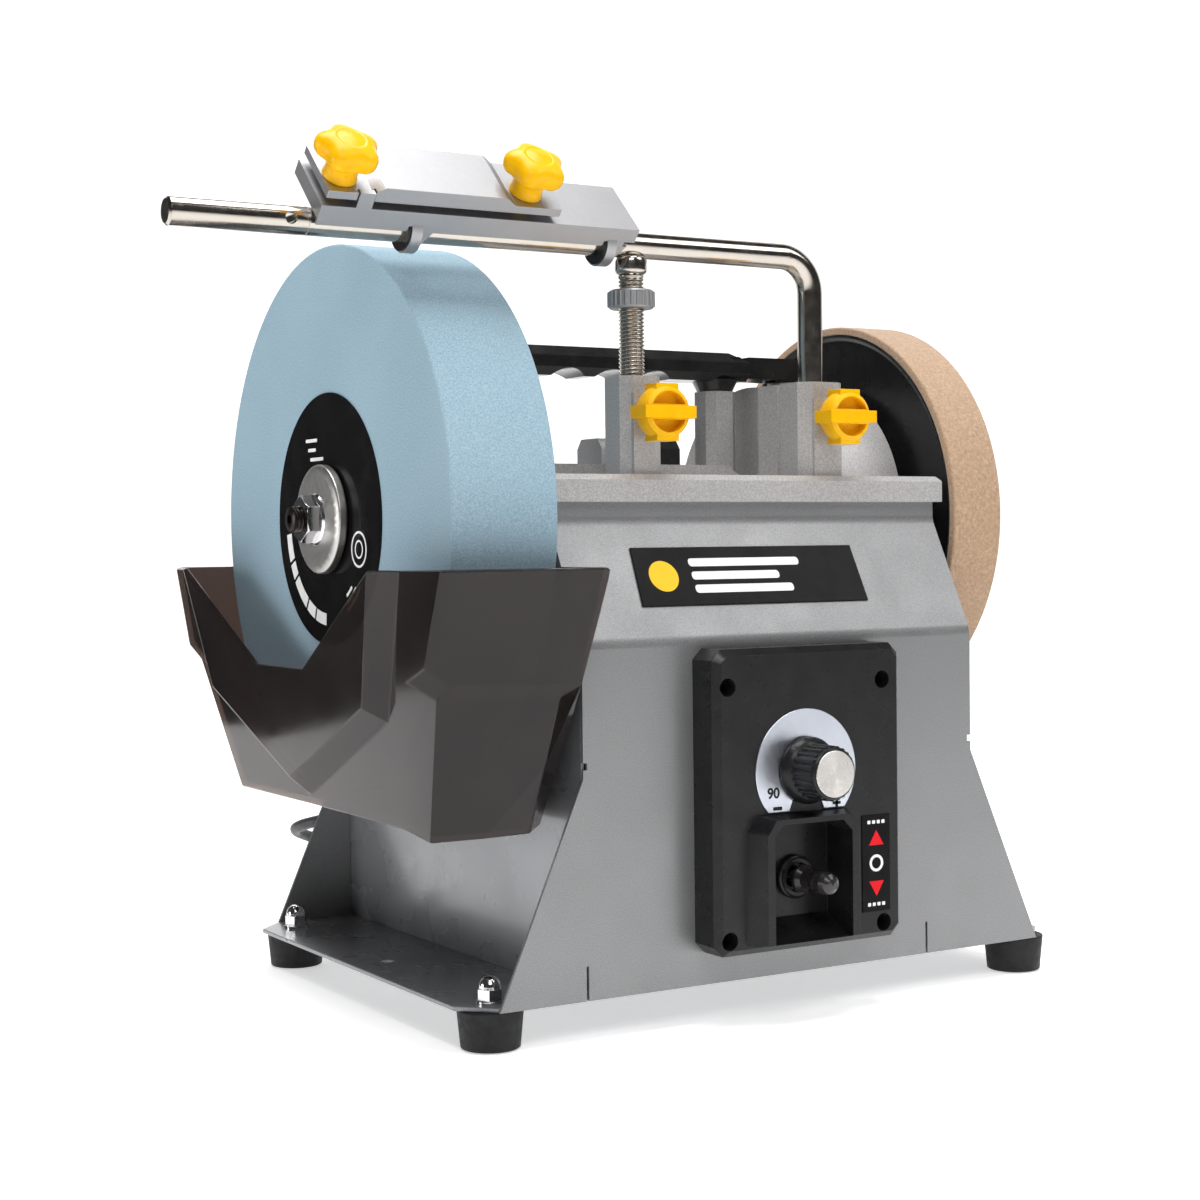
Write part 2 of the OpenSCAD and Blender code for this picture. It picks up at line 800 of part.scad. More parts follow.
module cord_tie() {
  across = coil_turns / coil_rows * cord_d;
  color([0.05, 0.05, 0.05]) in_frame() difference() {
    block([coil_x + coil_mid_d / 2 - across / 2 - 1.2, coil_y - 5, 0],
          [coil_x + coil_mid_d / 2 + across / 2 + 1.2, coil_y + 5, coil_rows * cord_d + 1.2]);
    block([coil_x + coil_mid_d / 2 - across / 2 - 0.1, coil_y - 6, -1],
          [coil_x + coil_mid_d / 2 + across / 2 + 0.1, coil_y + 6, coil_rows * cord_d + 0.1]);
  }
}

// Short lead from the coil to the plug
module plug_lead() {
  color([0.05, 0.05, 0.05]) in_frame() tube(plug_route, cord_r, 10);
}

// Two-pin mains plug lying beside the coil, its tail towards the cord
module mains_plug() {
  body_l = 34;
  color([0.05, 0.05, 0.05]) in_frame() {
    turned_x([
      [0, plug_x], [5, plug_x], [6.5, plug_x + 2], [9, plug_x + 12], [14, plug_x + 18],
      [plug_r, plug_x + 22], [plug_r, plug_x + body_l], [0, plug_x + body_l]
    ], plug_y, plug_r);
    for (s = [-1, 1]) rod_x(plug_x + body_l - 1, 20, 2.4, plug_y + 9.5 * s, plug_r);
  }
}

// Main shaft and everything that turns with it

module main_shaft() {
  r = shaft_d / 2;
  color([0.5, 0.5, 0.5]) in_frame() turned_x([
    [2.2, shaft_left_x], [r - 0.8, shaft_left_x], [r, shaft_left_x + 0.8],
    [r, shaft_right_x - 0.8], [r - 0.8, shaft_right_x], [0, shaft_right_x],
    [0, shaft_left_x + 6], [2.2, shaft_left_x + 6]
  ]);
}

module grinding_wheel() {
  r = wheel_d / 2;
  x1 = wheel_x + wheel_w;
  color([0.6, 0.74, 0.82]) in_frame() turned_x([
    [shaft_d / 2 + 0.02, wheel_x], [r - 0.6, wheel_x], [r, wheel_x + 0.6], [r, x1 - 0.6],
    [r - 0.6, x1], [shaft_d / 2 + 0.02, x1]
  ]);
}

module wheel_label() {
  color([0.05, 0.05, 0.05]) in_frame() turned_x([
    [22, wheel_x - 0.5], [label_d / 2, wheel_x - 0.5], [label_d / 2, wheel_x - 0.02],
    [22, wheel_x - 0.02]
  ]);
}

module wheel_hub() {
  color([0.1, 0.1, 0.1]) in_frame() turned_x([
    [shaft_d / 2 + 0.02, wheel_x - 1.5], [20.8, wheel_x - 1.5], [21.5, wheel_x - 0.8],
    [21.5, wheel_x - 0.02], [shaft_d / 2 + 0.02, wheel_x - 0.02]
  ]);
}

module wheel_washer() {
  r = washer_d / 2;
  color([0.62, 0.62, 0.6]) in_frame() turned_x([
    [shaft_d / 2 + 0.02, wheel_x - 7], [r - 4, wheel_x - 7], [r - 1, wheel_x - 6],
    [r, wheel_x - 5.3], [r, wheel_x - 2], [r - 0.5, wheel_x - 1.52],
    [shaft_d / 2 + 0.02, wheel_x - 1.52]
  ]);
}

// Flanged hexagon nut
module wheel_nut() {
  color([0.75, 0.75, 0.73]) in_frame() difference() {
    union() {
      intersection() {
        hex_x(wheel_x - 14.5, 6.5, 19);
        turned_x([
          [0, wheel_x - 15], [9, wheel_x - 15], [12.5, wheel_x - 12.6], [12.5, wheel_x - 7.5],
          [0, wheel_x - 7.5]
        ]);
      }
      turned_x([
        [0, wheel_x - 8.3], [11.4, wheel_x - 8.3], [12.2, wheel_x - 7.02], [0, wheel_x - 7.02]
      ]);
    }
    rod_x(wheel_x - 20, 20, shaft_d / 2 + 0.02);
  }
}

module inner_flange() {
  x1 = wheel_x + wheel_w;
  color([0.55, 0.55, 0.55]) in_frame() turned_x([
    [shaft_d / 2 + 0.02, x1 + 0.02], [15, x1 + 0.02], [15, x1 + 4], [9.5, x1 + 5],
    [9.5, left_plate_x + 3.5], [shaft_d / 2 + 0.02, left_plate_x + 3.5]
  ]);
}

module drive_wheel() {
  r = drive_d / 2 - 5;
  x1 = drive_x + drive_w;
  color([0.12, 0.12, 0.12]) in_frame() difference() {
    turned_x([
      [shaft_d / 2 + 0.02, drive_x - 10], [14, drive_x - 10], [14, drive_x + 7],
      [r - 6, drive_x + 7], [r - 6, drive_x], [r, drive_x], [r, x1], [r - 6, x1],
      [r - 6, x1 - 7], [14, x1 - 7], [14, strop_x - 0.5], [shaft_d / 2 + 0.02, strop_x - 0.5]
    ]);
    for (a = [0:60:300]) translate([0, 0, shaft_z]) rotate([a, 0, 0])
      translate([0, 31, -shaft_z]) rod_x(drive_x, drive_w, 9);
  }
}

module drive_tyre() {
  r = drive_d / 2;
  color([0.04, 0.04, 0.04]) in_frame() turned_x([
    [r - 5, drive_x], [r, drive_x], [r, drive_x + drive_w], [r - 5, drive_x + drive_w]
  ]);
}

module strop_disc() {
  r = strop_d / 2 - leather_t;
  x1 = strop_x + strop_w;
  color([0.06, 0.06, 0.06]) in_frame() difference() {
    turned_x([
      [shaft_d / 2 + 0.02, strop_x], [20, strop_x], [24, strop_x + 1.5], [r - 3, strop_x + 1.5],
      [r - 1.5, strop_x], [r, strop_x], [r, x1], [r - 6, x1], [r - 8, x1 - 12],
      [24, x1 - 12], [22, x1], [shaft_d / 2 + 0.02, x1]
    ]);
    for (a = [0:45:315]) translate([0, 0, shaft_z]) rotate([a, 0, 0])
      translate([0, 58, -shaft_z]) rod_x(x1 - 15, 10, 13);
  }
}

module strop_leather() {
  r = strop_d / 2;
  color([0.66, 0.5, 0.36]) in_frame() turned_x([
    [r - leather_t, strop_x], [r - 0.6, strop_x], [r, strop_x + 0.6],
    [r, strop_x + strop_w - 0.6], [r - 0.6, strop_x + strop_w],
    [r - leather_t, strop_x + strop_w]
  ]);
}

module strop_nut() {
  x1 = strop_x + strop_w;
  color([0.75, 0.75, 0.73]) in_frame() difference() {
    union() {
      rod_x(x1 + 0.02, 4, 18);
      hex_x(x1 + 4, 10, 19);
    }
    rod_x(x1 - 1, 20, shaft_d / 2 + 0.02);
  }
}

// Tool support

// Bar with its plain leg bent down into the right-hand post
module support_bar() {
  color([0.75, 0.72, 0.66]) in_frame() difference() {
    union() {
      rod_x(bar_left_x + 1, post_x[1] - bend_r - bar_left_x - 1, bar_r, post_y, bar_z);
      translate([bar_left_x, post_y, bar_z]) rotate([0, 90, 0])
        cylinder(r1 = bar_r - 1, r2 = bar_r, h = 1);
      translate([post_x[1] - bend_r, post_y, bar_z - bend_r]) rotate([90, 0, 0])
        rotate_extrude(angle = 90) translate([bend_r, 0]) circle(r = bar_r);
      rod_z(leg_bottom_z, bar_z - bend_r - leg_bottom_z, bar_r, post_x[1], post_y);
    }
    rod_y(0, 120, 2.6, -222, bar_z);
    turned_x([
      [bar_r - 0.25, groove_x], [bar_r + 1, groove_x], [bar_r + 1, groove_x + 0.8],
      [bar_r - 0.25, groove_x + 0.8]
    ], post_y, bar_z);
  }
}

// Threaded leg welded under the bar
module threaded_leg() {
  color([0.72, 0.68, 0.6]) in_frame() difference() {
    union() {
      rod_z(leg_bottom_z, bar_z - leg_bottom_z - 4, bar_r - 0.02, post_x[0], post_y);
      rod_z(bar_z - 13, 8, 7.4, post_x[0], post_y);
    }
    rod_x(post_x[0] - 20, 40, bar_r, post_y, bar_z);
  }
}

// Knurled nut that sets the height of the bar
module adjuster_nut() {
  color([0.75, 0.75, 0.74]) in_frame() translate([post_x[0], post_y, 320])
    difference() {
      union() {
        rotate_extrude() polygon([[0, 0], [9.6, 0], [10.4, 0.8], [10.4, 7.7], [9.6, 8.5], [0, 8.5]]);
        for (a = [0:15:345]) rotate([0, 0, a]) translate([10.1, 0, 0.9]) cylinder(r = 0.8, h = 6.7);
      }
      translate([0, 0, -1]) cylinder(r = bar_r + run_gap, h = 12);
    }
}

// Knob with a bar across it, two short lobes and a clamp screw; its axis runs to the front
module post_knob(x, face) {
  screw_back = post_y - bar_r - run_gap - face;
  translate([x, face, post_knob_z]) rotate([90, 0, 0]) {
    difference() {
      union() {
        translate([0, 0, 7]) rotate_extrude() polygon([
          [0, 0], [8, 0], [11, 2.5], [12.2, 6], [12.2, 9.5], [11.4, 12.2], [9.8, 13.5], [0, 13.5]
        ]);
        translate([-13.4, -2.8, 9]) cube([26.8, 5.6, 13]);
        translate([-5.8, -12.8, 9]) cube([11.6, 25.6, 10]);
        translate([0, 0, 2]) cylinder(r = 6, h = 6);
      }
      translate([0, 0, 15.5]) intersection() {
        cylinder(r = 9.2, h = 8);
        for (s = [-1, 1]) translate([-12, s * 9.9 - 6.45, 0]) cube([24, 12.9, 8]);
      }
    }
    translate([0, 0, -screw_back]) cylinder(r = 3, h = screw_back + 4);
  }
}

module post_knob_left() {
  color([0.98, 0.78, 0.02]) in_frame() post_knob(post_x[0], post_face_y);
}

module post_knob_right() {
  color([0.98, 0.78, 0.02]) in_frame() post_knob(post_x[1], post_face_right_y);
}

// Tool jig on the bar

// Turns a shape from the jig's own frame: u up the plate and n off its face
module on_jig() {
  translate([0, post_y, bar_z]) rotate([jig_tilt, 0, 0]) children();
}

module jig_bushes() {
  color([0.06, 0.06, 0.06]) in_frame() for (x = ear_x)
    translate([0, post_y, bar_z]) turned_x([
      [bar_r + run_gap, x - ear_w / 2 - 1], [bush_r + 1.2, x - ear_w / 2 - 1],
      [bush_r + 1.2, x - ear_w / 2 - 0.06], [bush_r, x - ear_w / 2 - 0.06],
      [bush_r, x + ear_w / 2], [bar_r + run_gap, x + ear_w / 2]
    ], 0, 0);
}

module jig_base() {
  top = jig_top_n;
  color([0.72, 0.72, 0.73]) in_frame() on_jig() difference() {
    union() {
      block([jig_left_x, jig_front_u, top - jig_plate_t],
            [jig_right_x, jig_front_u + jig_depth, top]);
      block([jig_left_x, jig_front_u, lip_n], [lip_right_x, lip_u, top - 1]);
      for (x = ear_x) {
        rod_x(x - ear_w / 2, ear_w, ear_r, 0, 0);
        block([x - ear_w / 2, jig_front_u, 0], [x + ear_w / 2, 10, top - 1]);
        along_y(lip_u, lip_u - jig_front_u) polygon([
          [x + ear_w / 2 - 1, -5], [x + ear_w / 2 + 0.4, -5], [x + ear_w / 2 + 6, lip_n + 0.5],
          [x + ear_w / 2 - 1, lip_n + 0.5]
        ]);
      }
      block([-197, jig_front_u - 0.01, top - 1], [-190, jig_front_u + 3, top + 7.5]);
    }
    for (x = ear_x) {
      rod_x(x - ear_w / 2 - 2, ear_w + 2.5, bush_r + run_gap, 0, 0);
      rod_x(x - ear_w / 2 - 1.5, 1.5, bush_r + 1.4, 0, 0);
    }
    for (x = jig_knob_x)
      rod_z(top - jig_plate_t - 1, jig_plate_t + 2, 3 + run_gap, x, jig_knob_u);
  }
}

module jig_clamp_plate() {
  u0 = jig_front_u + 0.6;
  u1 = jig_front_u + jig_depth;
  color([0.74, 0.74, 0.75]) in_frame() on_jig() difference() {
    along_y(u1, u1 - u0) polygon([
      [clamp_left_x, clamp_n], [clamp_right_x, clamp_n], [clamp_right_x, clamp_end_n],
      [-124, clamp_end_n], [-129, clamp_mid_n], [-186, clamp_mid_n], [-191, clamp_end_n],
      [clamp_left_x, clamp_end_n]
    ]);
    for (x = jig_knob_x) rod_z(clamp_n - 2, 12, 3 + run_gap, x, jig_knob_u);
    block([-197.4, jig_front_u - 1, clamp_n - 1], [-189.6, jig_front_u + 3.4, clamp_end_n + 9]);
  }
}

// Lobed mushroom knob with its screw, standing on the clamp plate
module jig_knob(x) {
  on_jig() translate([x, jig_knob_u, clamp_end_n + 0.05]) {
    rotate_extrude() polygon([
      [0, 0], [7.5, 0], [7.5, 1], [7, 6], [9, 8], [12, 10], [12.4, 13], [11.4, 17],
      [8, 19.2], [4, jig_knob_h], [0, jig_knob_h]
    ]);
    for (a = [0:72:288]) rotate([0, 0, a + 20]) translate([9.4, 0, 8.6])
      cylinder(r = 4.6, h = 9);
    translate([0, 0, -jig_screw_l]) cylinder(r = 3, h = jig_screw_l + 1);
  }
}

module jig_knob_left() {
  color([0.98, 0.78, 0.02]) in_frame() jig_knob(jig_knob_x[0]);
}

module jig_knob_right() {
  color([0.98, 0.78, 0.02]) in_frame() jig_knob(jig_knob_x[1]);
}

// Controls that move

module speed_knob() {
  color([0.05, 0.05, 0.05]) in_frame() {
    turned_y([
      [0, 1.2], [15, 1.2], [15, 3.2], [13.2, 5.4], [11.6, 6.4], [11.6, 20.6],
      [10.4, 21.6], [10.4, 20.8], [0, 20.8]
    ], dial_x, box_face_y, dial_z);
    for (a = [0:15:345]) translate([dial_x, box_face_y - 5, dial_z]) rotate([90, 0, 0])
      rotate([0, 0, a]) translate([11.3, 0, 0]) cylinder(r = 1, h = 14.8);
    rod_y(box_face_y + 5.5, 8, 3, dial_x, dial_z);
  }
}

module knob_cap() {
  color([0.8, 0.8, 0.8]) in_frame()
    rod_y(box_face_y - 20.82, knob_front_y * -1 + box_face_y - 20.82, 10.3, dial_x, dial_z);
}

// Rubber-booted lever of the three-position toggle
module toggle_lever() {
  color([0.1, 0.1, 0.1]) in_frame() union() {
    rod_x(toggle_x - 4.2, 8.4, 1.4, toggle_pivot_y, toggle_z);
    turned_y([
      [0, -3], [2.6, -3], [2.6, 0], [3.2, 3], [3.2, 8.6], [6.4, 9], [6.4, 11], [4.6, 13],
      [3.8, 17], [4.4, 19], [5.3, 22], [5.3, 27], [4.4, 29.6], [2.4, 31], [0, 31.4]
    ], toggle_x, toggle_pivot_y, toggle_z);
  }
}

// Water trough

// Plan of the trough's rim, and of its smaller bottom
function rim_plan() = [
  [-112, -152], [-190, -152], [-196.5, -126], [-202.5, -108], [-202.5, 110], [-190, 154],
  [-112, 154]
];
function base_plan() = [
  [-132, -121], [-181, -120.5], [-186, -106], [-178, 17], [-170, 117], [-131, 117],
  [-116, 96], [-116, -96]
];

module trough_form(inset) {
  hull() {
    translate([0, 0, trough_rim_z - 1 + (inset > 0 ? 3 : 0)]) linear_extrude(1)
      offset(delta = -inset) polygon(rim_plan());
    translate([0, 0, trough_base_z + inset]) linear_extrude(1)
      offset(delta = -inset) polygon(base_plan());
  }
}

module water_trough() {
  rib_x = left_plate_x - 0.6;
  color([0.2, 0.17, 0.16]) in_frame() {
    difference() {
      trough_form(0);
      trough_form(trough_t);
      along_x(-215, 26) polygon([
        [-27, 159.5], [26, 159.5], [110, trough_rim_z], [110, 220], [-108, 220],
        [-108, trough_rim_z]
      ]);
    }
    for (y = [-73.5, -58.5, 58.5, 73.5])
      block([-114, y - 1, 176], [rib_x, y + 1, 200]);
  }
}

front_sheet();
rear_sheet();
left_side_plate();
right_side_plate();
base_plate();
rubber_feet();
foot_bolts();
acorn_nuts();
top_casting();
shaft_bushes();
carry_handle();
handle_screws();
access_plug();
badge_plate();
control_box();
box_screws();
dial_plate();
potentiometer();
switch_label();
toggle_switch();
toggle_collar();
control_board();
motor_housing();
motor_stator();
motor_bracket();
trough_hanger();
cord_gland();
mains_cord();
cord_coil();
plug_lead();
cord_tie();
mains_plug();
main_shaft();
grinding_wheel();
wheel_label();
wheel_hub();
wheel_washer();
wheel_nut();
inner_flange();
drive_wheel();
drive_tyre();
strop_disc();
strop_leather();
strop_nut();
motor_rotor();
drive_roller();
support_bar();
threaded_leg();
adjuster_nut();
post_knob_left();
post_knob_right();
jig_bushes();
jig_base();
jig_clamp_plate();
jig_knob_left();
jig_knob_right();
speed_knob();
knob_cap();
toggle_lever();
water_trough();
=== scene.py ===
import json
import math

import bmesh
import bpy
from mathutils import Matrix, Vector


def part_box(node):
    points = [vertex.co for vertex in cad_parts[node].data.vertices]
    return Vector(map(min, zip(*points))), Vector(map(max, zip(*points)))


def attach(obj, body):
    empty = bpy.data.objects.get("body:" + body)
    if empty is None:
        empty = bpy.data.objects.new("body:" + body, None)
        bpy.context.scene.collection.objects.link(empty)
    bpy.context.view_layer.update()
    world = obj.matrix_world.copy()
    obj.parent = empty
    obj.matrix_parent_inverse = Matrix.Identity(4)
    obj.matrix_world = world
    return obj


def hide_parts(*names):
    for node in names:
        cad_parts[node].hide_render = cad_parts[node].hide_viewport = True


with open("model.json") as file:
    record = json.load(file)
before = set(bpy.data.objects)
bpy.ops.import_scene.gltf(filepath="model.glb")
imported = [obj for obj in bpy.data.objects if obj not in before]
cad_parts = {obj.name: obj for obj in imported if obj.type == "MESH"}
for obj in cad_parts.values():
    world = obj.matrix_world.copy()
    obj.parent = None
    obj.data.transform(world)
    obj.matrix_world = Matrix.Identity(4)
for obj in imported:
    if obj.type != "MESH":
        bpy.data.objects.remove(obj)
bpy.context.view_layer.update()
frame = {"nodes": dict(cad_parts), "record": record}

MM = 0.001
BODY_OF = {n: b for b, ns in frame["record"]["behaviour"]["bodies"].items() for n in ns}
JOINTS = {j["name"]: j for j in frame["record"]["behaviour"]["joints"]}
SLOT_OF = {s["node"]: s["material_slot"] for s in frame["record"]["subparts"]}

# ---------------------------------------------------------------------------
# Places, worked out from the frame
# ---------------------------------------------------------------------------


def middle(node):
    low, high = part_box(node)
    return (low + high) / 2


MID_X = middle("front_sheet").x
AXIS = middle("main_shaft")
# The housing's two long bends, each as y and z in mm
BEND_LOW = (-120.0, 170.4)
BEND_HIGH = (-93.4, 223.0)


def at(x, y, z):
    """A point given in millimetres from the housing's middle, the shaft's line and the floor."""
    return Vector((MID_X + x * MM, AXIS.y + y * MM, z * MM))


# ---------------------------------------------------------------------------
# Mesh helpers
# ---------------------------------------------------------------------------


def new_object(name, mesh):
    piece = bpy.data.objects.new(name, mesh)
    bpy.context.scene.collection.objects.link(piece)
    return piece


def smooth_below(mesh, angle):
    """Shades smoothly over every edge that turns by less than the angle, in degrees."""
    mesh.shade_smooth()
    mesh.set_sharp_from_angle(angle=math.radians(angle))


def mesh_from(name, points, faces, smooth_angle):
    mesh = bpy.data.meshes.new(name)
    mesh.from_pydata([tuple(p) for p in points], [], faces)
    mesh.update()
    bm = bmesh.new()
    bm.from_mesh(mesh)
    bmesh.ops.recalc_face_normals(bm, faces=bm.faces)
    bm.to_mesh(mesh)
    bm.free()
    smooth_below(mesh, smooth_angle)
    return new_object(name, mesh)


def place(piece, body, material, replaces):
    """Gives a finished piece its material, its body and the CAD nodes that it stands for."""
    piece.data.materials.clear()
    piece.data.materials.append(material)
    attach(piece, body)
    if replaces:
        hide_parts(*replaces)


def stand_in(piece, node, material=None):
    """Shows a piece in place of one CAD node, on the same body and in the same slot."""
    slot = SLOT_OF[node]
    place(piece, BODY_OF[node], material or MATERIALS[slot], [node])


def soften(piece, width, segments, angle):
    """Rounds the edges sharper than the angle, to a width in mm."""
    bevel = piece.modifiers.new("softened_edges", "BEVEL")
    bevel.width = width * MM
    bevel.segments = segments
    bevel.limit_method = "ANGLE"
    bevel.angle_limit = math.radians(angle)
    piece.modifiers.new("even_shading", "WEIGHTED_NORMAL").keep_sharp = True


def clean_copy(node, name):
    """A copy of a CAD node's mesh with its doubled corners joined and its flat faces whole."""
    bm = bmesh.new()
    bm.from_mesh(frame["nodes"][node].data)
    bmesh.ops.remove_doubles(bm, verts=bm.verts, dist=2e-6)
    bmesh.ops.dissolve_limit(bm, angle_limit=math.radians(0.6), verts=bm.verts, edges=bm.edges)
    mesh = bpy.data.meshes.new(name)
    bm.to_mesh(mesh)
    bm.free()
    return mesh


def refined(node, width, segments, angle, material=None, about=None):
    """Shows a CAD node with its hard edges rounded, as moulding, casting or bending leaves them."""
    mesh = clean_copy(node, node + "_fine")
    smooth_below(mesh, angle)
    piece = new_object(node + "_fine", mesh)
    if about:
        mesh.transform(Matrix.Translation(-about))
        piece.location = about
    soften(piece, width, segments, angle)
    stand_in(piece, node, material)


# ---------------------------------------------------------------------------
# Materials
# ---------------------------------------------------------------------------


class Shader:
    """A small helper round one material's node tree; lengths in it are metres on the piece."""

    def __init__(self, name, color, roughness, metallic=0.0):
        self.material = bpy.data.materials.new(name)
        self.material.use_nodes = True
        self.nodes = self.material.node_tree.nodes
        self.links = self.material.node_tree.links
        self.bsdf = self.nodes["Principled BSDF"]
        self.bsdf.inputs["Base Color"].default_value = (*color, 1)
        self.bsdf.inputs["Roughness"].default_value = roughness
        self.bsdf.inputs["Metallic"].default_value = metallic
        self.coords = self.nodes.new("ShaderNodeTexCoord").outputs["Object"]

    def set(self, **values):
        for key, value in values.items():
            self.bsdf.inputs[key.replace("_", " ")].default_value = value
        return self

    def noise(self, size_mm, detail=3.0, roughness=0.55, stretch=None):
        """Soft noise whose features are about size_mm across."""
        node = self.nodes.new("ShaderNodeTexNoise")
        node.inputs["Scale"].default_value = 1000.0 / size_mm
        node.inputs["Detail"].default_value = detail
        node.inputs["Roughness"].default_value = roughness
        self.links.new(self.stretched(stretch), node.inputs["Vector"])
        return node.outputs["Fac"]

    def cells(self, size_mm, feature="F1"):
        node = self.nodes.new("ShaderNodeTexVoronoi")
        node.feature = feature
        node.inputs["Scale"].default_value = 1000.0 / size_mm
        self.links.new(self.coords, node.inputs["Vector"])
        return node.outputs["Distance"]

    def stretched(self, scale):
        if scale is None:
            return self.coords
        node = self.nodes.new("ShaderNodeMapping")
        node.inputs["Scale"].default_value = scale
        self.links.new(self.coords, node.inputs["Vector"])
        return node.outputs["Vector"]

    def ramp(self, value, low, high, start=0.0, end=1.0):
        """Maps a value's range low..high to start..end."""
        node = self.nodes.new("ShaderNodeMapRange")
        node.inputs["From Min"].default_value = low
        node.inputs["From Max"].default_value = high
        node.inputs["To Min"].default_value = start
        node.inputs["To Max"].default_value = end
        self.links.new(value, node.inputs["Value"])
        return node.outputs["Result"]

    def tint(self, factor, color_a, color_b):
        node = self.nodes.new("ShaderNodeMix")
        node.data_type = "RGBA"
        self.links.new(factor, node.inputs["Factor"])
        for socket, color in ((node.inputs[6], color_a), (node.inputs[7], color_b)):
            if hasattr(color, "links"):
                self.links.new(color, socket)
            else:
                socket.default_value = (*color, 1)
        return node.outputs[2]

    def color(self, output):
        self.links.new(output, self.bsdf.inputs["Base Color"])
        return self

    def rough(self, output):
        self.links.new(output, self.bsdf.inputs["Roughness"])
        return self

    def bump(self, height, depth_mm, strength=1.0):
        """Adds relief; a second call adds on top of the first."""
        node = self.nodes.new("ShaderNodeBump")
        node.inputs["Strength"].default_value = strength
        node.inputs["Distance"].default_value = depth_mm * MM
        self.links.new(height, node.inputs["Height"])
        socket = self.bsdf.inputs["Normal"]
        if socket.is_linked:
            self.links.new(socket.links[0].from_socket, node.inputs["Normal"])
        self.links.new(node.outputs["Normal"], socket)
        return self

    def axis(self, name):
        """One coordinate of the piece, in metres."""
        node = self.nodes.new("ShaderNodeSeparateXYZ")
        self.links.new(self.coords, node.inputs["Vector"])
        return node.outputs[name]


def sheet_metal():
    """Silver-grey metallic paint with a fine dry texture."""
    s = Shader("sheet_metal", (0.30, 0.305, 0.31), 0.42, 0.55)
    grain = s.noise(0.45, 2)
    s.color(s.tint(s.ramp(grain, 0.35, 0.7), (0.19, 0.192, 0.196), (0.31, 0.312, 0.316)))
    s.rough(s.ramp(s.noise(28, 3), 0.3, 0.7, 0.36, 0.46))
    s.bump(grain, 0.03, 0.35)
    s.set(Coat_Weight=0.3, Coat_Roughness=0.22)
    return s.material


def inner_metal():
    """Smooth dark grey paint with a soft gloss, as on the plates set back between the sheets."""
    s = Shader("inner_metal", (0.17, 0.175, 0.185), 0.25, 0.35)
    s.color(s.tint(s.ramp(s.noise(90, 2), 0.3, 0.7), (0.19, 0.196, 0.208), (0.23, 0.236, 0.248)))
    s.rough(s.ramp(s.noise(30, 2), 0.3, 0.7, 0.24, 0.32))
    s.bump(s.noise(0.6, 2), 0.01, 0.15)
    s.set(Coat_Weight=0.3, Coat_Roughness=0.12)
    return s.material


def cast_metal():
    """Light grey hammered paint over a die casting."""
    s = Shader("cast_metal", (0.38, 0.375, 0.37), 0.42, 0.3)
    dimples = s.noise(0.75, 2, 0.55)
    s.color(s.tint(s.ramp(dimples, 0.36, 0.68), (0.36, 0.35, 0.345), (0.52, 0.51, 0.505)))
    s.rough(s.ramp(s.noise(20, 3), 0.3, 0.7, 0.4, 0.5))
    s.bump(dimples, 0.07, 0.4)
    return s.material


def black_plastic():
    """Satin black moulding with a faint grain."""
    s = Shader("black_plastic", (0.012, 0.012, 0.013), 0.38)
    s.color(s.tint(s.ramp(s.noise(12, 3), 0.3, 0.7), (0.008, 0.008, 0.009), (0.013, 0.013, 0.014)))
    s.rough(s.ramp(s.noise(9, 2), 0.3, 0.7, 0.26, 0.32))
    s.bump(s.noise(0.35, 2), 0.01, 0.2)
    s.set(Specular_IOR_Level=0.24)
    return s.material


def handle_plastic():
    """Black moulding with a polished skin, as on the handle."""
    s = Shader("handle_plastic", (0.012, 0.012, 0.012), 0.18)
    s.color(s.tint(s.ramp(s.noise(12, 3), 0.3, 0.7), (0.010, 0.010, 0.010), (0.017, 0.017, 0.017)))
    s.rough(s.ramp(s.noise(7, 3), 0.3, 0.7, 0.14, 0.24))
    s.bump(s.noise(4, 2), 0.02, 0.15)
    return s.material


def boot_rubber():
    """Dark glossy rubber of the toggle's boot."""
    s = Shader("boot_rubber", (0.02, 0.019, 0.018), 0.16)
    s.color(s.tint(s.ramp(s.noise(5, 3), 0.3, 0.7), (0.012, 0.011, 0.011), (0.028, 0.026, 0.025)))
    s.rough(s.ramp(s.noise(3, 3), 0.3, 0.7, 0.12, 0.26))
    s.bump(s.noise(1.4, 2), 0.03, 0.25)
    return s.material


def spun_metal():
    """Turned aluminium: fine rings round the knob's axis, which spread a highlight into a fan."""
    s = Shader("spun_metal", (0.62, 0.6, 0.57), 0.3, 1.0)
    rings = s.nodes.new("ShaderNodeTexWave")
    rings.wave_type = "RINGS"
    rings.rings_direction = "Y"
    rings.inputs["Scale"].default_value = 900
    rings.inputs["Distortion"].default_value = 0.4
    s.links.new(s.coords, rings.inputs["Vector"])
    s.color(s.tint(rings.outputs["Fac"], (0.5, 0.48, 0.455), (0.66, 0.64, 0.61)))
    s.rough(s.ramp(s.noise(3, 3), 0.3, 0.7, 0.24, 0.34))
    s.bump(rings.outputs["Fac"], 0.02, 0.35)
    tangent = s.nodes.new("ShaderNodeTangent")
    tangent.direction_type = "RADIAL"
    tangent.axis = "Y"
    s.links.new(tangent.outputs["Tangent"], s.bsdf.inputs["Tangent"])
    s.set(Anisotropic=0.85)
    return s.material


def gloss_black():
    s = Shader("gloss_black", (0.008, 0.008, 0.009), 0.14)
    s.color(s.tint(s.ramp(s.noise(15, 3), 0.3, 0.7), (0.007, 0.007, 0.008), (0.013, 0.012, 0.012)))
    s.rough(s.ramp(s.noise(4, 3), 0.3, 0.7, 0.08, 0.16))
    s.set(Specular_IOR_Level=0.04)
    return s.material


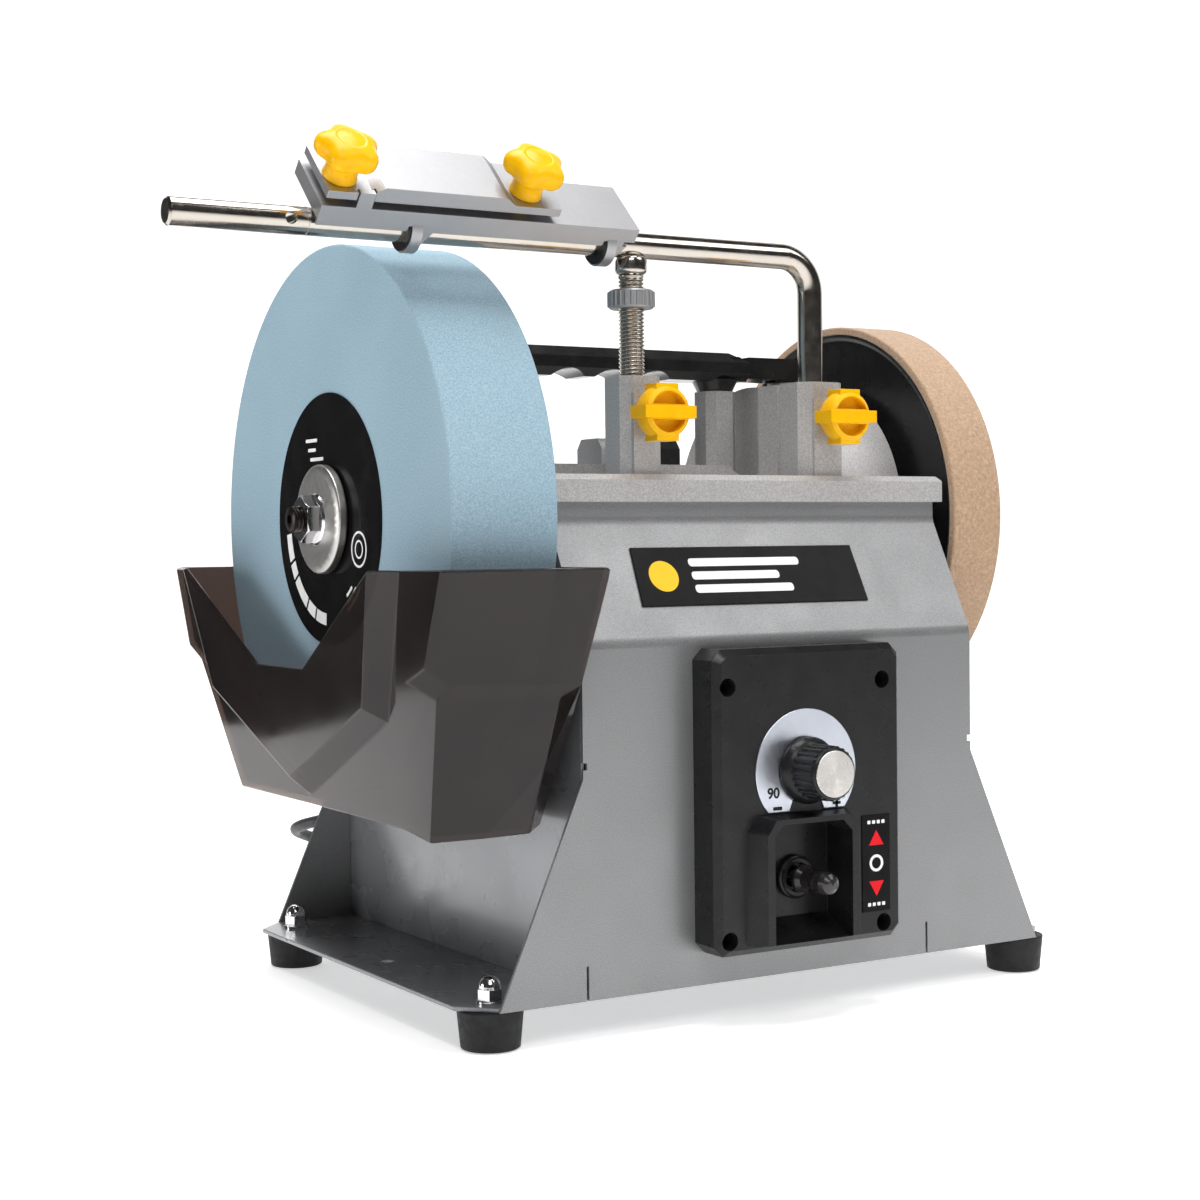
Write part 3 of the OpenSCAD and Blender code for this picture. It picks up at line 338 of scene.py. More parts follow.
def rubber_black():
    s = Shader("rubber_black", (0.018, 0.018, 0.019), 0.62)
    s.color(s.tint(s.ramp(s.noise(8, 4), 0.3, 0.7), (0.008, 0.008, 0.009), (0.016, 0.016, 0.017)))
    s.rough(s.ramp(s.noise(3, 3), 0.3, 0.7, 0.5, 0.7))
    s.bump(s.noise(0.5, 3), 0.04, 0.35)
    s.set(Specular_IOR_Level=0.3)
    return s.material


def cord_black():
    s = Shader("cord_black", (0.02, 0.02, 0.022), 0.48)
    s.color(s.tint(s.ramp(s.noise(10, 3), 0.3, 0.7), (0.016, 0.016, 0.018), (0.032, 0.032, 0.035)))
    s.rough(s.ramp(s.noise(4, 3), 0.3, 0.7, 0.4, 0.58))
    s.bump(s.noise(0.8, 2), 0.03, 0.3)
    return s.material


def metal(name, color, roughness, spread, grain_mm, depth_mm, shift=0.08):
    """Bare or plated metal with a slightly uneven surface."""
    s = Shader(name, color, roughness, 1.0)
    dark = [c * (1 - shift) for c in color]
    s.color(s.tint(s.ramp(s.noise(14, 4), 0.3, 0.7), dark, color))
    s.rough(s.ramp(s.noise(grain_mm * 4, 3), 0.3, 0.7, max(roughness - spread, 0.03), roughness + spread))
    s.bump(s.noise(grain_mm, 2), depth_mm, 0.3)
    return s.material


def abrasive_stone():
    """Light blue bonded abrasive: pale grains in a blue-grey bond with small dark pores."""
    s = Shader("abrasive_stone", (0.32, 0.48, 0.58), 0.9)
    grains = s.noise(0.75, 2, 0.7)
    base = s.tint(s.ramp(grains, 0.36, 0.66), (0.225, 0.345, 0.43), (0.355, 0.485, 0.56))
    pores = s.ramp(s.cells(1.3), 0.0, 0.22, 1.0, 0.0)
    base = s.tint(s.ramp(pores, 0.0, 1.0, 0.0, 0.35), base, (0.15, 0.24, 0.3))
    wide = s.ramp(s.noise(45, 3), 0.35, 0.7, 0.0, 0.18)
    s.color(s.tint(wide, base, (0.4, 0.52, 0.59)))
    s.rough(s.ramp(grains, 0.3, 0.7, 0.82, 0.97))
    s.bump(grains, 0.12, 0.5)
    s.set(Specular_IOR_Level=0.25)
    return s.material


def yellow_plastic():
    s = Shader("yellow_plastic", (0.9, 0.5, 0.003), 0.32)
    s.color(s.tint(s.ramp(s.noise(9, 3), 0.3, 0.7), (0.82, 0.42, 0.0), (0.88, 0.48, 0.001)))
    s.rough(s.ramp(s.noise(3, 3), 0.3, 0.7, 0.26, 0.4))
    s.bump(s.noise(0.6, 2), 0.02, 0.25)
    s.set(Specular_IOR_Level=0.2)
    return s.material


def leather_tan():
    """Suede side of a tan leather band, mottled and slightly fibrous."""
    s = Shader("leather_tan", (0.36, 0.23, 0.135), 0.88)
    nap = s.noise(1.5, 4, 0.75)
    base = s.tint(s.ramp(nap, 0.33, 0.68), (0.27, 0.165, 0.095), (0.56, 0.385, 0.25))
    base = s.tint(s.ramp(s.noise(9, 4, 0.65), 0.35, 0.7, 0.0, 0.55), base, (0.4, 0.25, 0.15))
    specks = s.ramp(s.cells(2.6), 0.0, 0.17, 0.7, 0.0)
    s.color(s.tint(specks, base, (0.17, 0.1, 0.055)))
    s.rough(s.ramp(nap, 0.3, 0.7, 0.8, 0.96))
    s.bump(nap, 0.25, 0.6)
    s.set(Sheen_Weight=0.35, Sheen_Roughness=0.5)
    return s.material


def smoked_plastic():
    """Smoked plastic: glossy, nearly black in a thick wall, with brown light through a thin one."""
    s = Shader("smoked_plastic", (0.014, 0.011, 0.011), 0.1)
    s.color(s.tint(s.ramp(s.noise(40, 3), 0.3, 0.7), (0.010, 0.008, 0.008), (0.018, 0.014, 0.014)))
    s.rough(s.ramp(s.noise(30, 2), 0.3, 0.7, 0.07, 0.12))
    s.set(Specular_IOR_Level=0.35)
    clear = s.nodes.new("ShaderNodeBsdfTransparent")
    clear.inputs["Color"].default_value = (0.95, 0.76, 0.68, 1)
    blend = s.nodes.new("ShaderNodeMixShader")
    blend.inputs["Fac"].default_value = 0.78
    s.links.new(clear.outputs["BSDF"], blend.inputs[1])
    s.links.new(s.bsdf.outputs["BSDF"], blend.inputs[2])
    s.links.new(blend.outputs["Shader"], s.nodes["Material Output"].inputs["Surface"])
    return s.material


def printed(name, color, roughness=0.35):
    s = Shader(name, color, roughness)
    pale = [min(c * 1.06 + 0.002, 1) for c in color]
    s.color(s.tint(s.ramp(s.noise(6, 3), 0.3, 0.7), color, pale))
    s.rough(s.ramp(s.noise(2, 2), 0.3, 0.7, roughness - 0.06, roughness + 0.06))
    s.set(Specular_IOR_Level=0.2)
    return s.material


def winding():
    """Iron laminations seen edge on, tinted by the copper wound over them."""
    s = Shader("winding", (0.35, 0.2, 0.12), 0.4, 0.9)
    layers = s.noise(0.6, 1, 0.5, stretch=(1, 0.02, 0.02))
    s.color(s.tint(s.ramp(layers, 0.4, 0.6), (0.3, 0.15, 0.08), (0.3, 0.3, 0.3)))
    s.bump(layers, 0.1, 0.5)
    return s.material


def board_green():
    s = Shader("board_green", (0.02, 0.12, 0.04), 0.35)
    tracks = s.cells(5, "F2")
    s.color(s.tint(s.ramp(tracks, 0.45, 0.55), (0.015, 0.09, 0.03), (0.05, 0.2, 0.07)))
    s.bump(tracks, 0.05, 0.3)
    return s.material


MATERIALS = {
    "sheet_metal": sheet_metal(),
    "inner_metal": inner_metal(),
    "cast_metal": cast_metal(),
    "black_plastic": black_plastic(),
    "gloss_black": gloss_black(),
    "rubber_black": rubber_black(),
    "cord_black": cord_black(),
    "chrome_hardware": metal("chrome_hardware", (0.72, 0.72, 0.73), 0.14, 0.04, 1.2, 0.01),
    "nickel_rod": metal("nickel_rod", (0.5, 0.46, 0.41), 0.17, 0.05, 1.5, 0.015),
    "satin_chrome": metal("satin_chrome", (0.38, 0.38, 0.39), 0.5, 0.03, 0.5, 0.01, 0.04),
    "plain_steel": metal("plain_steel", (0.5, 0.49, 0.47), 0.4, 0.05, 0.5, 0.03),
    "black_steel": metal("black_steel", (0.045, 0.038, 0.034), 0.35, 0.08, 0.7, 0.02),
    "abrasive_stone": abrasive_stone(),
    "yellow_plastic": yellow_plastic(),
    "leather_tan": leather_tan(),
    "smoked_plastic": smoked_plastic(),
    "bronze_bush": metal("bronze_bush", (0.45, 0.28, 0.12), 0.4, 0.08, 0.5, 0.03),
    "winding": winding(),
    "board_green": board_green(),
    "dial_metal": metal("dial_metal", (0.62, 0.65, 0.72), 0.33, 0.05, 0.5, 0.01),
}
PRINT_WHITE = printed("print_white", (0.82, 0.82, 0.82))
PRINT_YELLOW = printed("print_yellow", (0.9, 0.52, 0.005))
PRINT_RED = printed("print_red", (0.72, 0.004, 0.012), 0.5)
HANDLE_PLASTIC = handle_plastic()
BOOT_RUBBER = boot_rubber()
SPUN_METAL = spun_metal()
PRINT_BLACK = printed("print_black", (0.012, 0.012, 0.013))

for name, node in frame["nodes"].items():
    node.data.materials.clear()
    node.data.materials.append(MATERIALS[SLOT_OF[name]])

# ---------------------------------------------------------------------------
# Camera, stage and light
# ---------------------------------------------------------------------------


CAMERA_AT = (-556.7, -884.9, 213.07)
CAMERA_AZIMUTH, CAMERA_PITCH, CAMERA_ROLL = -30.919, -1.538, -0.686
CAMERA_LENS = 62.4


def make_camera():
    azimuth, pitch, roll = (math.radians(v) for v in (CAMERA_AZIMUTH, CAMERA_PITCH, CAMERA_ROLL))
    ahead = Vector((-math.sin(azimuth), math.cos(azimuth), 0))
    side = Vector((math.cos(azimuth), math.sin(azimuth), 0))
    up = Vector((0, 0, 1))
    forward = math.cos(pitch) * ahead + math.sin(pitch) * up
    above = -math.sin(pitch) * ahead + math.cos(pitch) * up
    right = math.cos(roll) * side + math.sin(roll) * above
    top = -math.sin(roll) * side + math.cos(roll) * above
    data = bpy.data.cameras.new("camera")
    data.lens = CAMERA_LENS
    data.sensor_width = 36.0
    data.clip_end = 50
    camera = bpy.data.objects.new("camera", data)
    bpy.context.scene.collection.objects.link(camera)
    turn = Matrix((right, top, -forward)).transposed().to_4x4()
    camera.matrix_world = Matrix.Translation(at(*CAMERA_AT)) @ turn
    bpy.context.scene.camera = camera


# The stage, in metres: the floor's two ends, the curve at its back, and the backdrop's top
FLOOR_NEAR, FLOOR_FAR, FLOOR_HALF_WIDTH = -6.0, 4.0, 9.0
CURVE_R = 2.0
BACKDROP_TOP = 7.0
FLOOR_DROP = 0.0004
FLOOR_TURN = -31


def make_stage():
    """A pale floor that curves up into a backdrop far behind."""
    s = Shader("stage_paint", (0.86, 0.86, 0.86), 0.85)
    s.color(s.tint(s.ramp(s.noise(900, 2), 0.3, 0.7), (0.85, 0.85, 0.85), (0.88, 0.88, 0.88)))
    s.set(Emission_Color=(1, 1, 1, 1), Emission_Strength=0.5)
    points, faces = [], []
    profile = [(FLOOR_NEAR, 0.0), (FLOOR_FAR, 0.0)]
    profile += [(FLOOR_FAR + CURVE_R * math.sin(a), CURVE_R - CURVE_R * math.cos(a))
                for a in (math.radians(10 * k) for k in range(1, 10))]
    profile += [(FLOOR_FAR + CURVE_R, BACKDROP_TOP)]
    for y, z in profile:
        points += [(-FLOOR_HALF_WIDTH, y, z), (FLOOR_HALF_WIDTH, y, z)]
    for k in range(len(profile) - 1):
        faces.append((2 * k, 2 * k + 1, 2 * k + 3, 2 * k + 2))
    floor = mesh_from("floor", points, faces, 60)
    floor.data.materials.append(s.material)
    floor.location.z = -FLOOR_DROP
    floor.rotation_euler.z = math.radians(FLOOR_TURN)


# The flag, in metres: where it stands, which way it runs and bows, and its sizes
FLAG_MIDDLE = Vector((-0.51, 0.64, 0))
FLAG_ALONG = Vector((0.857, 0.486, 0))
FLAG_FACING = Vector((0.486, -0.857, 0))
FLAG_REACH, FLAG_BOW, FLAG_HEIGHT = 0.36, 0.04, 0.62
FLAG_STEPS = 8


def make_flag():
    """A dark card beside the camera's view: the trough's and label's flat sides mirror it."""
    s = Shader("flag_cloth", (0.02, 0.02, 0.02), 0.9)
    s.color(s.tint(s.noise(60), (0.012, 0.012, 0.012), (0.03, 0.03, 0.03)))
    points, faces = [], []
    for k in range(FLAG_STEPS + 1):
        part = 2 * k / FLAG_STEPS - 1
        bow = FLAG_FACING * FLAG_BOW * part * part
        foot = FLAG_MIDDLE + FLAG_ALONG * FLAG_REACH * part + bow
        points += [foot, foot + Vector((0, 0, FLAG_HEIGHT))]
    for k in range(FLAG_STEPS):
        faces.append((2 * k, 2 * k + 2, 2 * k + 3, 2 * k + 1))
    flag = mesh_from("flag", points, faces, 60)
    flag.data.materials.append(s.material)
    flag.visible_camera = False
    flag.visible_shadow = False


SUBJECT = (0, 0, 0.2)
# Each light: where it is, what it faces, its two sides, all in metres, and its power in watts
LIGHTS = {
    "key": ((-0.7, -1.6, 1.6), SUBJECT, (1.0, 1.0), 16),
    "slope": ((1.15, -1.2, 1.6), SUBJECT, (1.0, 1.0), 12),
    "top": ((-0.1, 0.0, 2.2), SUBJECT, (1.5, 1.5), 58),
    "left": ((-1.95, 0.8, 0.3), SUBJECT, (0.9, 0.55), 9),
    "backdrop": ((1.0, 1.7, 3.2), (2.7, 4.9, 0.7), (2.0, 1.0), 75),
    "rear": ((0.9, 2.0, 1.2), SUBJECT, (1.2, 1.0), 7),
}
WORLD_STRENGTH = 0.04


def soft_light(name, location, target, size, power):
    data = bpy.data.lights.new(name, "AREA")
    data.shape = "RECTANGLE"
    data.size, data.size_y = size
    data.energy = power
    light = bpy.data.objects.new(name, data)
    light.location = location
    light.rotation_euler = (Vector(target) - Vector(location)).to_track_quat("-Z", "Y").to_euler()
    bpy.context.scene.collection.objects.link(light)


def make_lights():
    world = bpy.data.worlds.new("studio")
    world.use_nodes = True
    world.node_tree.nodes["Background"].inputs["Color"].default_value = (1, 1, 1, 1)
    world.node_tree.nodes["Background"].inputs["Strength"].default_value = WORLD_STRENGTH
    bpy.context.scene.world = world
    for name, settings in LIGHTS.items():
        soft_light(name, *settings)
    bpy.context.scene.view_settings.view_transform = "Standard"


# ---------------------------------------------------------------------------
# Mains cord
# ---------------------------------------------------------------------------

CORD_D = 6.5
CORD_ROUTE = [
    (-45, 152, 66), (-45, 159, 66), (-47, 168, 65.9), (-53, 177, 65.6), (-62, 183, 65),
    (-73, 185.5, 64), (-86, 188.5, 62), (-96, 198, 59.2), (-100, 211, 55.6), (-97, 225, 51.4),
    (-87, 235, 46.6), (-74, 239, 41.6), (-61, 238, 36), (-48, 233, 30), (-36, 226, 24),
    (-25, 218, 18), (-14, 210, 12), (-3, 203.5, 7.2), (9, 199.5, 4.3), (21, 198.5, 3.3),
    (29, 198.5, 3.3),
]
PLUG_ROUTE = [
    (29, 198.5, 9.8), (38, 198.5, 10), (47, 198.5, 11.6), (56, 198.5, 14.4), (65, 198.5, 17),
    (72, 198.5, 18),
]
COIL_AT = (29, 241)
COIL_R = 36
COIL_LAYERS = (3.3, 9.85)
# Turns of the coil in order: radius beside the middle turn, in cord widths, and layer
COIL_TURNS = [(1, 0), (0, 0), (-1, 0), (-1, 1), (0, 1), (1, 1)]
COIL_STEPS = 24
# The share of a turn over which the cord crosses to the next one, and its swing inwards as it
# climbs to the upper layer
CROSSING_START, CROSSING_END = 0.5, 1.0
CLIMB_SWING = 2.8


def coil_points():
    """Six turns, three inwards on the floor and three outwards on top of them."""
    points = []
    for i, (ring, layer) in enumerate(COIL_TURNS):
        r0, z0 = COIL_R + ring * CORD_D, COIL_LAYERS[layer]
        r1, z1 = r0, z0
        if i + 1 < len(COIL_TURNS):
            r1 = COIL_R + COIL_TURNS[i + 1][0] * CORD_D
            z1 = COIL_LAYERS[COIL_TURNS[i + 1][1]]
        for k in range(COIL_STEPS):
            part = k / COIL_STEPS
            t = min(max((part - CROSSING_START) / (CROSSING_END - CROSSING_START), 0), 1)
            t = t * t * (3 - 2 * t)
            inward = CLIMB_SWING * math.sin(math.pi * t) if z1 != z0 else 0
            angle = math.radians(-90 + 360 * part)
            r = r0 + (r1 - r0) * t - inward
            points.append((COIL_AT[0] + r * math.cos(angle), COIL_AT[1] + r * math.sin(angle),
                           z0 + (z1 - z0) * t))
    return points


def make_cord():
    route = CORD_ROUTE[:-1] + coil_points() + PLUG_ROUTE
    curve = bpy.data.curves.new("mains_cord_whole", "CURVE")
    curve.dimensions = "3D"
    curve.bevel_depth = CORD_D / 2 * MM
    curve.bevel_resolution = 4
    curve.resolution_u = 4
    curve.use_fill_caps = True
    spline = curve.splines.new("BEZIER")
    spline.bezier_points.add(len(route) - 1)
    places = [at(*p) for p in route]
    for i, (point, spot) in enumerate(zip(spline.bezier_points, places)):
        before, after = places[max(i - 1, 0)], places[min(i + 1, len(places) - 1)]
        along = (after - before).normalized()
        point.co = spot
        point.handle_left = spot - along * (spot - before).length / 3
        point.handle_right = spot + along * (after - spot).length / 3
    cord = new_object("mains_cord_whole", curve)
    place(cord, "machine_body", MATERIALS["cord_black"], ["mains_cord", "cord_coil", "plug_lead"])


# ---------------------------------------------------------------------------
# Water trough
# ---------------------------------------------------------------------------

TROUGH_WALL = 2.4

# Corners of the moulded trough: the proud outer shield (P, V), the foot of its chamfer (Q), the
# upper end panels (F), the lower block (G), and the wall beside the housing (K)
TROUGH = {
    "V": (-197.5, -27, 159.3), "Vr": (-197.5, 29, 159.3),
    "P1": (-202.5, -108, 203), "P2": (-196, -87.5, 145.5), "P3": (-191.7, 3, 108.2),
    "P1r": (-202.5, 110, 203), "P2r": (-196, 89.5, 145.5),
    "Q1": (-196.5, -126, 203), "Q2": (-186, -92, 139.5), "Q3": (-179, 8, 98.5),
    "Q1r": (-196.5, 128, 203), "Q2r": (-186, 94, 139.5),
    "F1": (-190.5, -152, 203), "F2": (-190, -135.5, 164), "F3": (-179, -139.5, 157.2),
    "F4": (-120.4, -139.5, 155), "F5": (-115, -146.4, 183), "F6": (-112, -152, 203),
    "F1r": (-190.5, 154, 203), "F2r": (-190, 137.5, 164), "F3r": (-179, 141.5, 157.2),
    "F4r": (-120.4, 141.5, 155), "F6r": (-112, 154, 203),
    "G1": (-190, -118.5, 157.5), "G2": (-185.3, -137, 151.2), "G3": (-129.2, -137, 150),
    "G4": (-179.5, -91, 93.7), "G5": (-181.8, -121.8, 91.4), "G6": (-157, -121.9, 91.4),
    "G7": (-133.2, -118, 91.2), "G8": (-132.1, -129.5, 120.4),
    "G1r": (-190, 120.5, 157.5), "G2r": (-183, 125, 150), "G3r": (-129, 132, 150),
    "G4r": (-178.5, 96.7, 94.5), "G5r": (-170, 117, 91.2), "G7r": (-131, 117, 91.2),
    "B": (-178.3, 9, 94.2), "K": (-116, -96, 91.1), "Kr": (-116, 98, 91.1),
}
TROUGH_FACES = [
    "P1 P2 P3 P2r P1r Vr V", "Q1 Q2 P2 P1", "Q2 Q3 P3 P2", "Q1r Q2r P2r P1r", "Q2r Q3 P3 P2r",
    "F1 F2 G1 Q2 Q1", "G1 G4 B Q3 Q2", "F1r F2r G1r Q2r Q1r", "G1r G4r B Q3 Q2r",
    "F2 F3 G2 G1", "G1 G2 G5 G4", "F1 F2 F3 F4 F5 F6", "F3 F4 G3 G2", "G2 G3 G8 G6 G5",
    "G6 G8 G7", "F2r F3r G2r G1r", "G1r G2r G5r G4r", "F1r F2r F3r F4r F6r", "F3r F4r G3r G2r",
    "G2r G3r G7r G5r", "F6 F6r Kr K", "F6 F5 F4 G3 G8 G7 K", "F6r F4r G3r G7r Kr",
    "G5 G6 G7 K Kr G7r G5r G4r B G4",
]


def make_trough():
    names = list(TROUGH)
    faces = [[names.index(n) for n in row.split()] for row in TROUGH_FACES]
    trough = mesh_from("trough_shell", [at(*TROUGH[n]) for n in names], faces, 8)
    wall = trough.modifiers.new("wall", "SOLIDIFY")
    wall.thickness = TROUGH_WALL * MM
    wall.offset = -1
    wall.use_even_offset = True
    soften(trough, 0.7, 3, 9)
    stand_in(trough, "water_trough")


# ---------------------------------------------------------------------------
# Printed marks: thin inked shapes, each a closed film on its face
# ---------------------------------------------------------------------------

FILM = 0.12
FILM_SUNK = 0.02
NUMBER_WEIGHT = 0.16


def disc(cx, cy, r, n=48):
    return [(cx + r * math.cos(a), cy + r * math.sin(a))
            for a in (2 * math.pi * k / n for k in range(n))]


def band(cx, cy, r0, r1, start, end, n=24):
    """Part of a ring between two angles in degrees."""
    turns = [math.radians(start + (end - start) * k / n) for k in range(n + 1)]
    outer = [(cx + r1 * math.cos(a), cy + r1 * math.sin(a)) for a in turns]
    inner = [(cx + r0 * math.cos(a), cy + r0 * math.sin(a)) for a in reversed(turns)]
    return outer + inner


def ring_marks(cx, cy, r0, r1):
    return [band(cx, cy, r0, r1, 0, 180), band(cx, cy, r0, r1, 180, 360)]


def bar(x0, y0, x1, y1, r=0.6, n=5):
    """A bar with rounded corners."""
    r = min(r, abs(x1 - x0) / 2, abs(y1 - y0) / 2) - 1e-4
    points = []
    for cx, cy, start in ((x1 - r, y1 - r, 0), (x0 + r, y1 - r, 90), (x0 + r, y0 + r, 180),
                          (x1 - r, y0 + r, 270)):
        for k in range(n + 1):
            a = math.radians(start + 90 * k / n)
            points.append((cx + r * math.cos(a), cy + r * math.sin(a)))
    return points


def film(name, body, material, origin, across, up, shapes):
    """Inks flat shapes, in mm across and up from origin, onto the face that they define."""
    normal = across.cross(up).normalized()
    points, faces = [], []
    for shape in shapes:
        base, n = len(points), len(shape)
        for level in (-FILM_SUNK, FILM):
            points += [origin + (across * x + up * y + normal * level) * MM for x, y in shape]
        faces.append(list(range(base + n, base + 2 * n)))
        faces.append(list(reversed(range(base, base + n))))
        faces += [(base + k, base + (k + 1) % n, base + n + (k + 1) % n, base + n + k)
                  for k in range(n)]
    place(mesh_from(name, points, faces, 40), body, material, ())


def make_badge_marks():
    """Plain bars and a disc on the badge plate, which lies on the housing's sloping band."""
    low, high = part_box("badge_plate")
    centre = (low + high) / 2
    up = Vector((0, BEND_HIGH[0] - BEND_LOW[0], BEND_HIGH[1] - BEND_LOW[1])).normalized()
    across = Vector((1, 0, 0))
    face = across.cross(up).normalized()
    reach = max(face.dot(v.co) for v in frame["nodes"]["badge_plate"].data.vertices)
    origin = centre + face * (reach - face.dot(centre))
    left = -(high.x - low.x) / MM / 2
    film("badge_disc", "machine_body", PRINT_YELLOW, origin, across, up,
         [disc(left + 15, 0, 7.6)])
    bars = [bar(left + 30, 4.6, left + 91, 8.6, 1.6), bar(left + 30, -2, left + 78, 2, 1.6),
            bar(left + 30, -8.6, left + 84, -4.6, 1.6)]
    film("badge_bars", "machine_body", PRINT_WHITE, origin, across, up, bars)


def make_wheel_label_marks():
    """Plain strokes where a stone's label carries its print."""
    origin = Vector((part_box("wheel_label")[0].x, AXIS.y, AXIS.z))
    across, up = Vector((0, -1, 0)), Vector((0, 0, 1))
    shapes = []
    for k, (start, span) in enumerate(((188, 16), (206, 9), (217, 20), (239, 11), (252, 14))):
        shapes.append(band(0, 0, 43.5, 49, start, start + span, 10))
    for k, width in enumerate((13, 9, 15, 7, 11)):
        shapes.append(bar(-24 + 2.5 * k, 36 - 4.4 * k, -24 + 2.5 * k + width, 37.6 - 4.4 * k, 0.7))
    shapes += ring_marks(34, -14, 7.2, 8.2) + ring_marks(34, -14, 3.4, 4.2)
    for k in range(3):
        shapes.append(band(0, 0, 46 - 3.2 * k, 47.4 - 3.2 * k, 296 + 2 * k, 318 - 4 * k, 8))
    film("wheel_label_marks", "main_shaft", PRINT_WHITE, origin, across, up, shapes)


def make_number(name, text, size, x, z, origin):
    """A number on the dial, made from the plain built-in font."""
    data = bpy.data.curves.new(name, "FONT")
    data.body = text
    data.size = size * MM
    data.extrude = FILM / 2 * MM
    data.offset = NUMBER_WEIGHT * MM
    data.align_x = "CENTER"
    data.align_y = "CENTER"
    source = bpy.data.objects.new(name + "_curve", data)
    bpy.context.scene.collection.objects.link(source)
    bpy.context.view_layer.update()
    mesh = bpy.data.meshes.new_from_object(source.evaluated_get(
        bpy.context.evaluated_depsgraph_get()))
    bpy.data.objects.remove(source)
    stand = Matrix.Translation(origin + Vector((x, -FILM / 2, z)) * MM)
    mesh.transform(stand @ Matrix.Rotation(math.radians(90), 4, "X"))
    place(new_object(name, mesh), "machine_body", PRINT_BLACK, ())


def make_dial_marks():
    low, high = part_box("dial_plate")
    origin = Vector(((low.x + high.x) / 2, low.y, middle("speed_knob").z))
    across, up = Vector((1, 0, 0)), Vector((0, 0, 1))
    make_number("dial_number", "90", 6.6, -18.2, -9.4, origin)
    signs = [bar(-18.4, -16.9, -13.6, -15.3, 0.3), bar(14.4, -16.5, 18.8, -15.1, 0.3),
             bar(15.9, -18.0, 17.3, -13.6, 0.3)]
    film("dial_signs", "machine_body", PRINT_BLACK, origin, across, up, signs)


def make_switch_marks():
    low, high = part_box("switch_label")
    origin = Vector(((low.x + high.x) / 2, low.y, (low.z + high.z) / 2))
    across, up = Vector((1, 0, 0)), Vector((0, 0, 1))
    arrows = [[(-4.2, 8.2), (4.2, 8.2), (0, 15)], [(-4.2, -8.2), (0, -15), (4.2, -8.2)]]
    film("switch_arrows", "machine_body", PRINT_RED, origin, across, up, arrows)
    marks = ring_marks(0, 0, 2.6, 3.9)
    for side in (-1, 1):
        for k in range(4):
            x = -5 + 2.7 * k
            marks.append(bar(x, side * 18.8 - 0.8, x + 1.7, side * 18.8 + 0.8, 0.3))
    film("switch_marks", "machine_body", PRINT_WHITE, origin, across, up, marks)


# ---------------------------------------------------------------------------
# Bent sheets
# ---------------------------------------------------------------------------

BEND_SETBACK = 2.6
BEND_HEIGHT_SLACK = 0.6
BEND_MIN_LENGTH = 10
BEND_ANGLES = (0.2, 0.8)


def bent_sheet(node, bend_heights):
    """Rounds a sheet's two long bends as a press brake leaves them, and softens its cut edges."""
    mesh = clean_copy(node, node + "_bent")
    bm = bmesh.new()
    bm.from_mesh(mesh)
    bends = []
    for edge in bm.edges:
        a, b = edge.verts[0].co, edge.verts[1].co
        level = any(abs(a.z - z * MM) < BEND_HEIGHT_SLACK * MM
                    and abs(b.z - z * MM) < BEND_HEIGHT_SLACK * MM for z in bend_heights)
        if level and abs(a.x - b.x) > BEND_MIN_LENGTH * MM and len(edge.link_faces) == 2:
            if BEND_ANGLES[0] < edge.calc_face_angle() < BEND_ANGLES[1]:
                bends.append(edge)
    bmesh.ops.bevel(bm, geom=bends, offset=BEND_SETBACK * MM, segments=5, profile=0.5,
                    affect="EDGES", clamp_overlap=True)
    bm.to_mesh(mesh)
    bm.free()
    smooth_below(mesh, 25)
    sheet = new_object(node + "_bent", mesh)
    soften(sheet, 0.25, 2, 40)
    stand_in(sheet, node)


# ---------------------------------------------------------------------------
# Threads and knobs
# ---------------------------------------------------------------------------


THREAD_PITCH = 1.75


def lathe_grid(name, rings, centre, axis, start):
    """A closed skin from rings, each a list of (radius, angle, height), round an axis."""
    axis = axis.normalized()
    start = start.normalized()
    side = axis.cross(start)
    points, faces = [], []
    n = len(rings[0])
    for ring in rings:
        for r, a, h in ring:
            points.append(centre + (start * math.cos(a) + side * math.sin(a)) * r * MM
                          + axis * h * MM)
    for i in range(len(rings) - 1):
        for k in range(n):
            j = (k + 1) % n
            faces.append((i * n + k, i * n + j, (i + 1) * n + j, (i + 1) * n + k))
    faces.append(list(reversed(range(n))))
    faces.append(list(range((len(rings) - 1) * n, len(rings) * n)))
    return mesh_from(name, points, faces, 50)


def thread_rings(h0, h1, r_crest, depth, sides=28, rows_per_turn=8):
    """Rings of a screw thread whose crest climbs one pitch a turn; it fades out at both ends."""
    pitch = THREAD_PITCH
    rows = int((h1 - h0) / pitch * rows_per_turn)
    rings = []
    for i in range(rows + 1):
        h = h0 + (h1 - h0) * i / rows
        fade = min(1, (h - h0) / pitch, (h1 - h) / pitch)
        ring = []
        for k in range(sides):
            turn = k / sides
            wave = abs(((h / pitch - turn) % 1) * 2 - 1)
            ring.append((r_crest - depth * fade * min(1, max(0, wave * 1.3 - 0.15)),
                         2 * math.pi * turn, h))
        rings.append(ring)
    return rings


def round_ring(r, h, sides=28):
    return [(r, 2 * math.pi * k / sides, h) for k in range(sides)]


BARREL_HEIGHT = 9.0


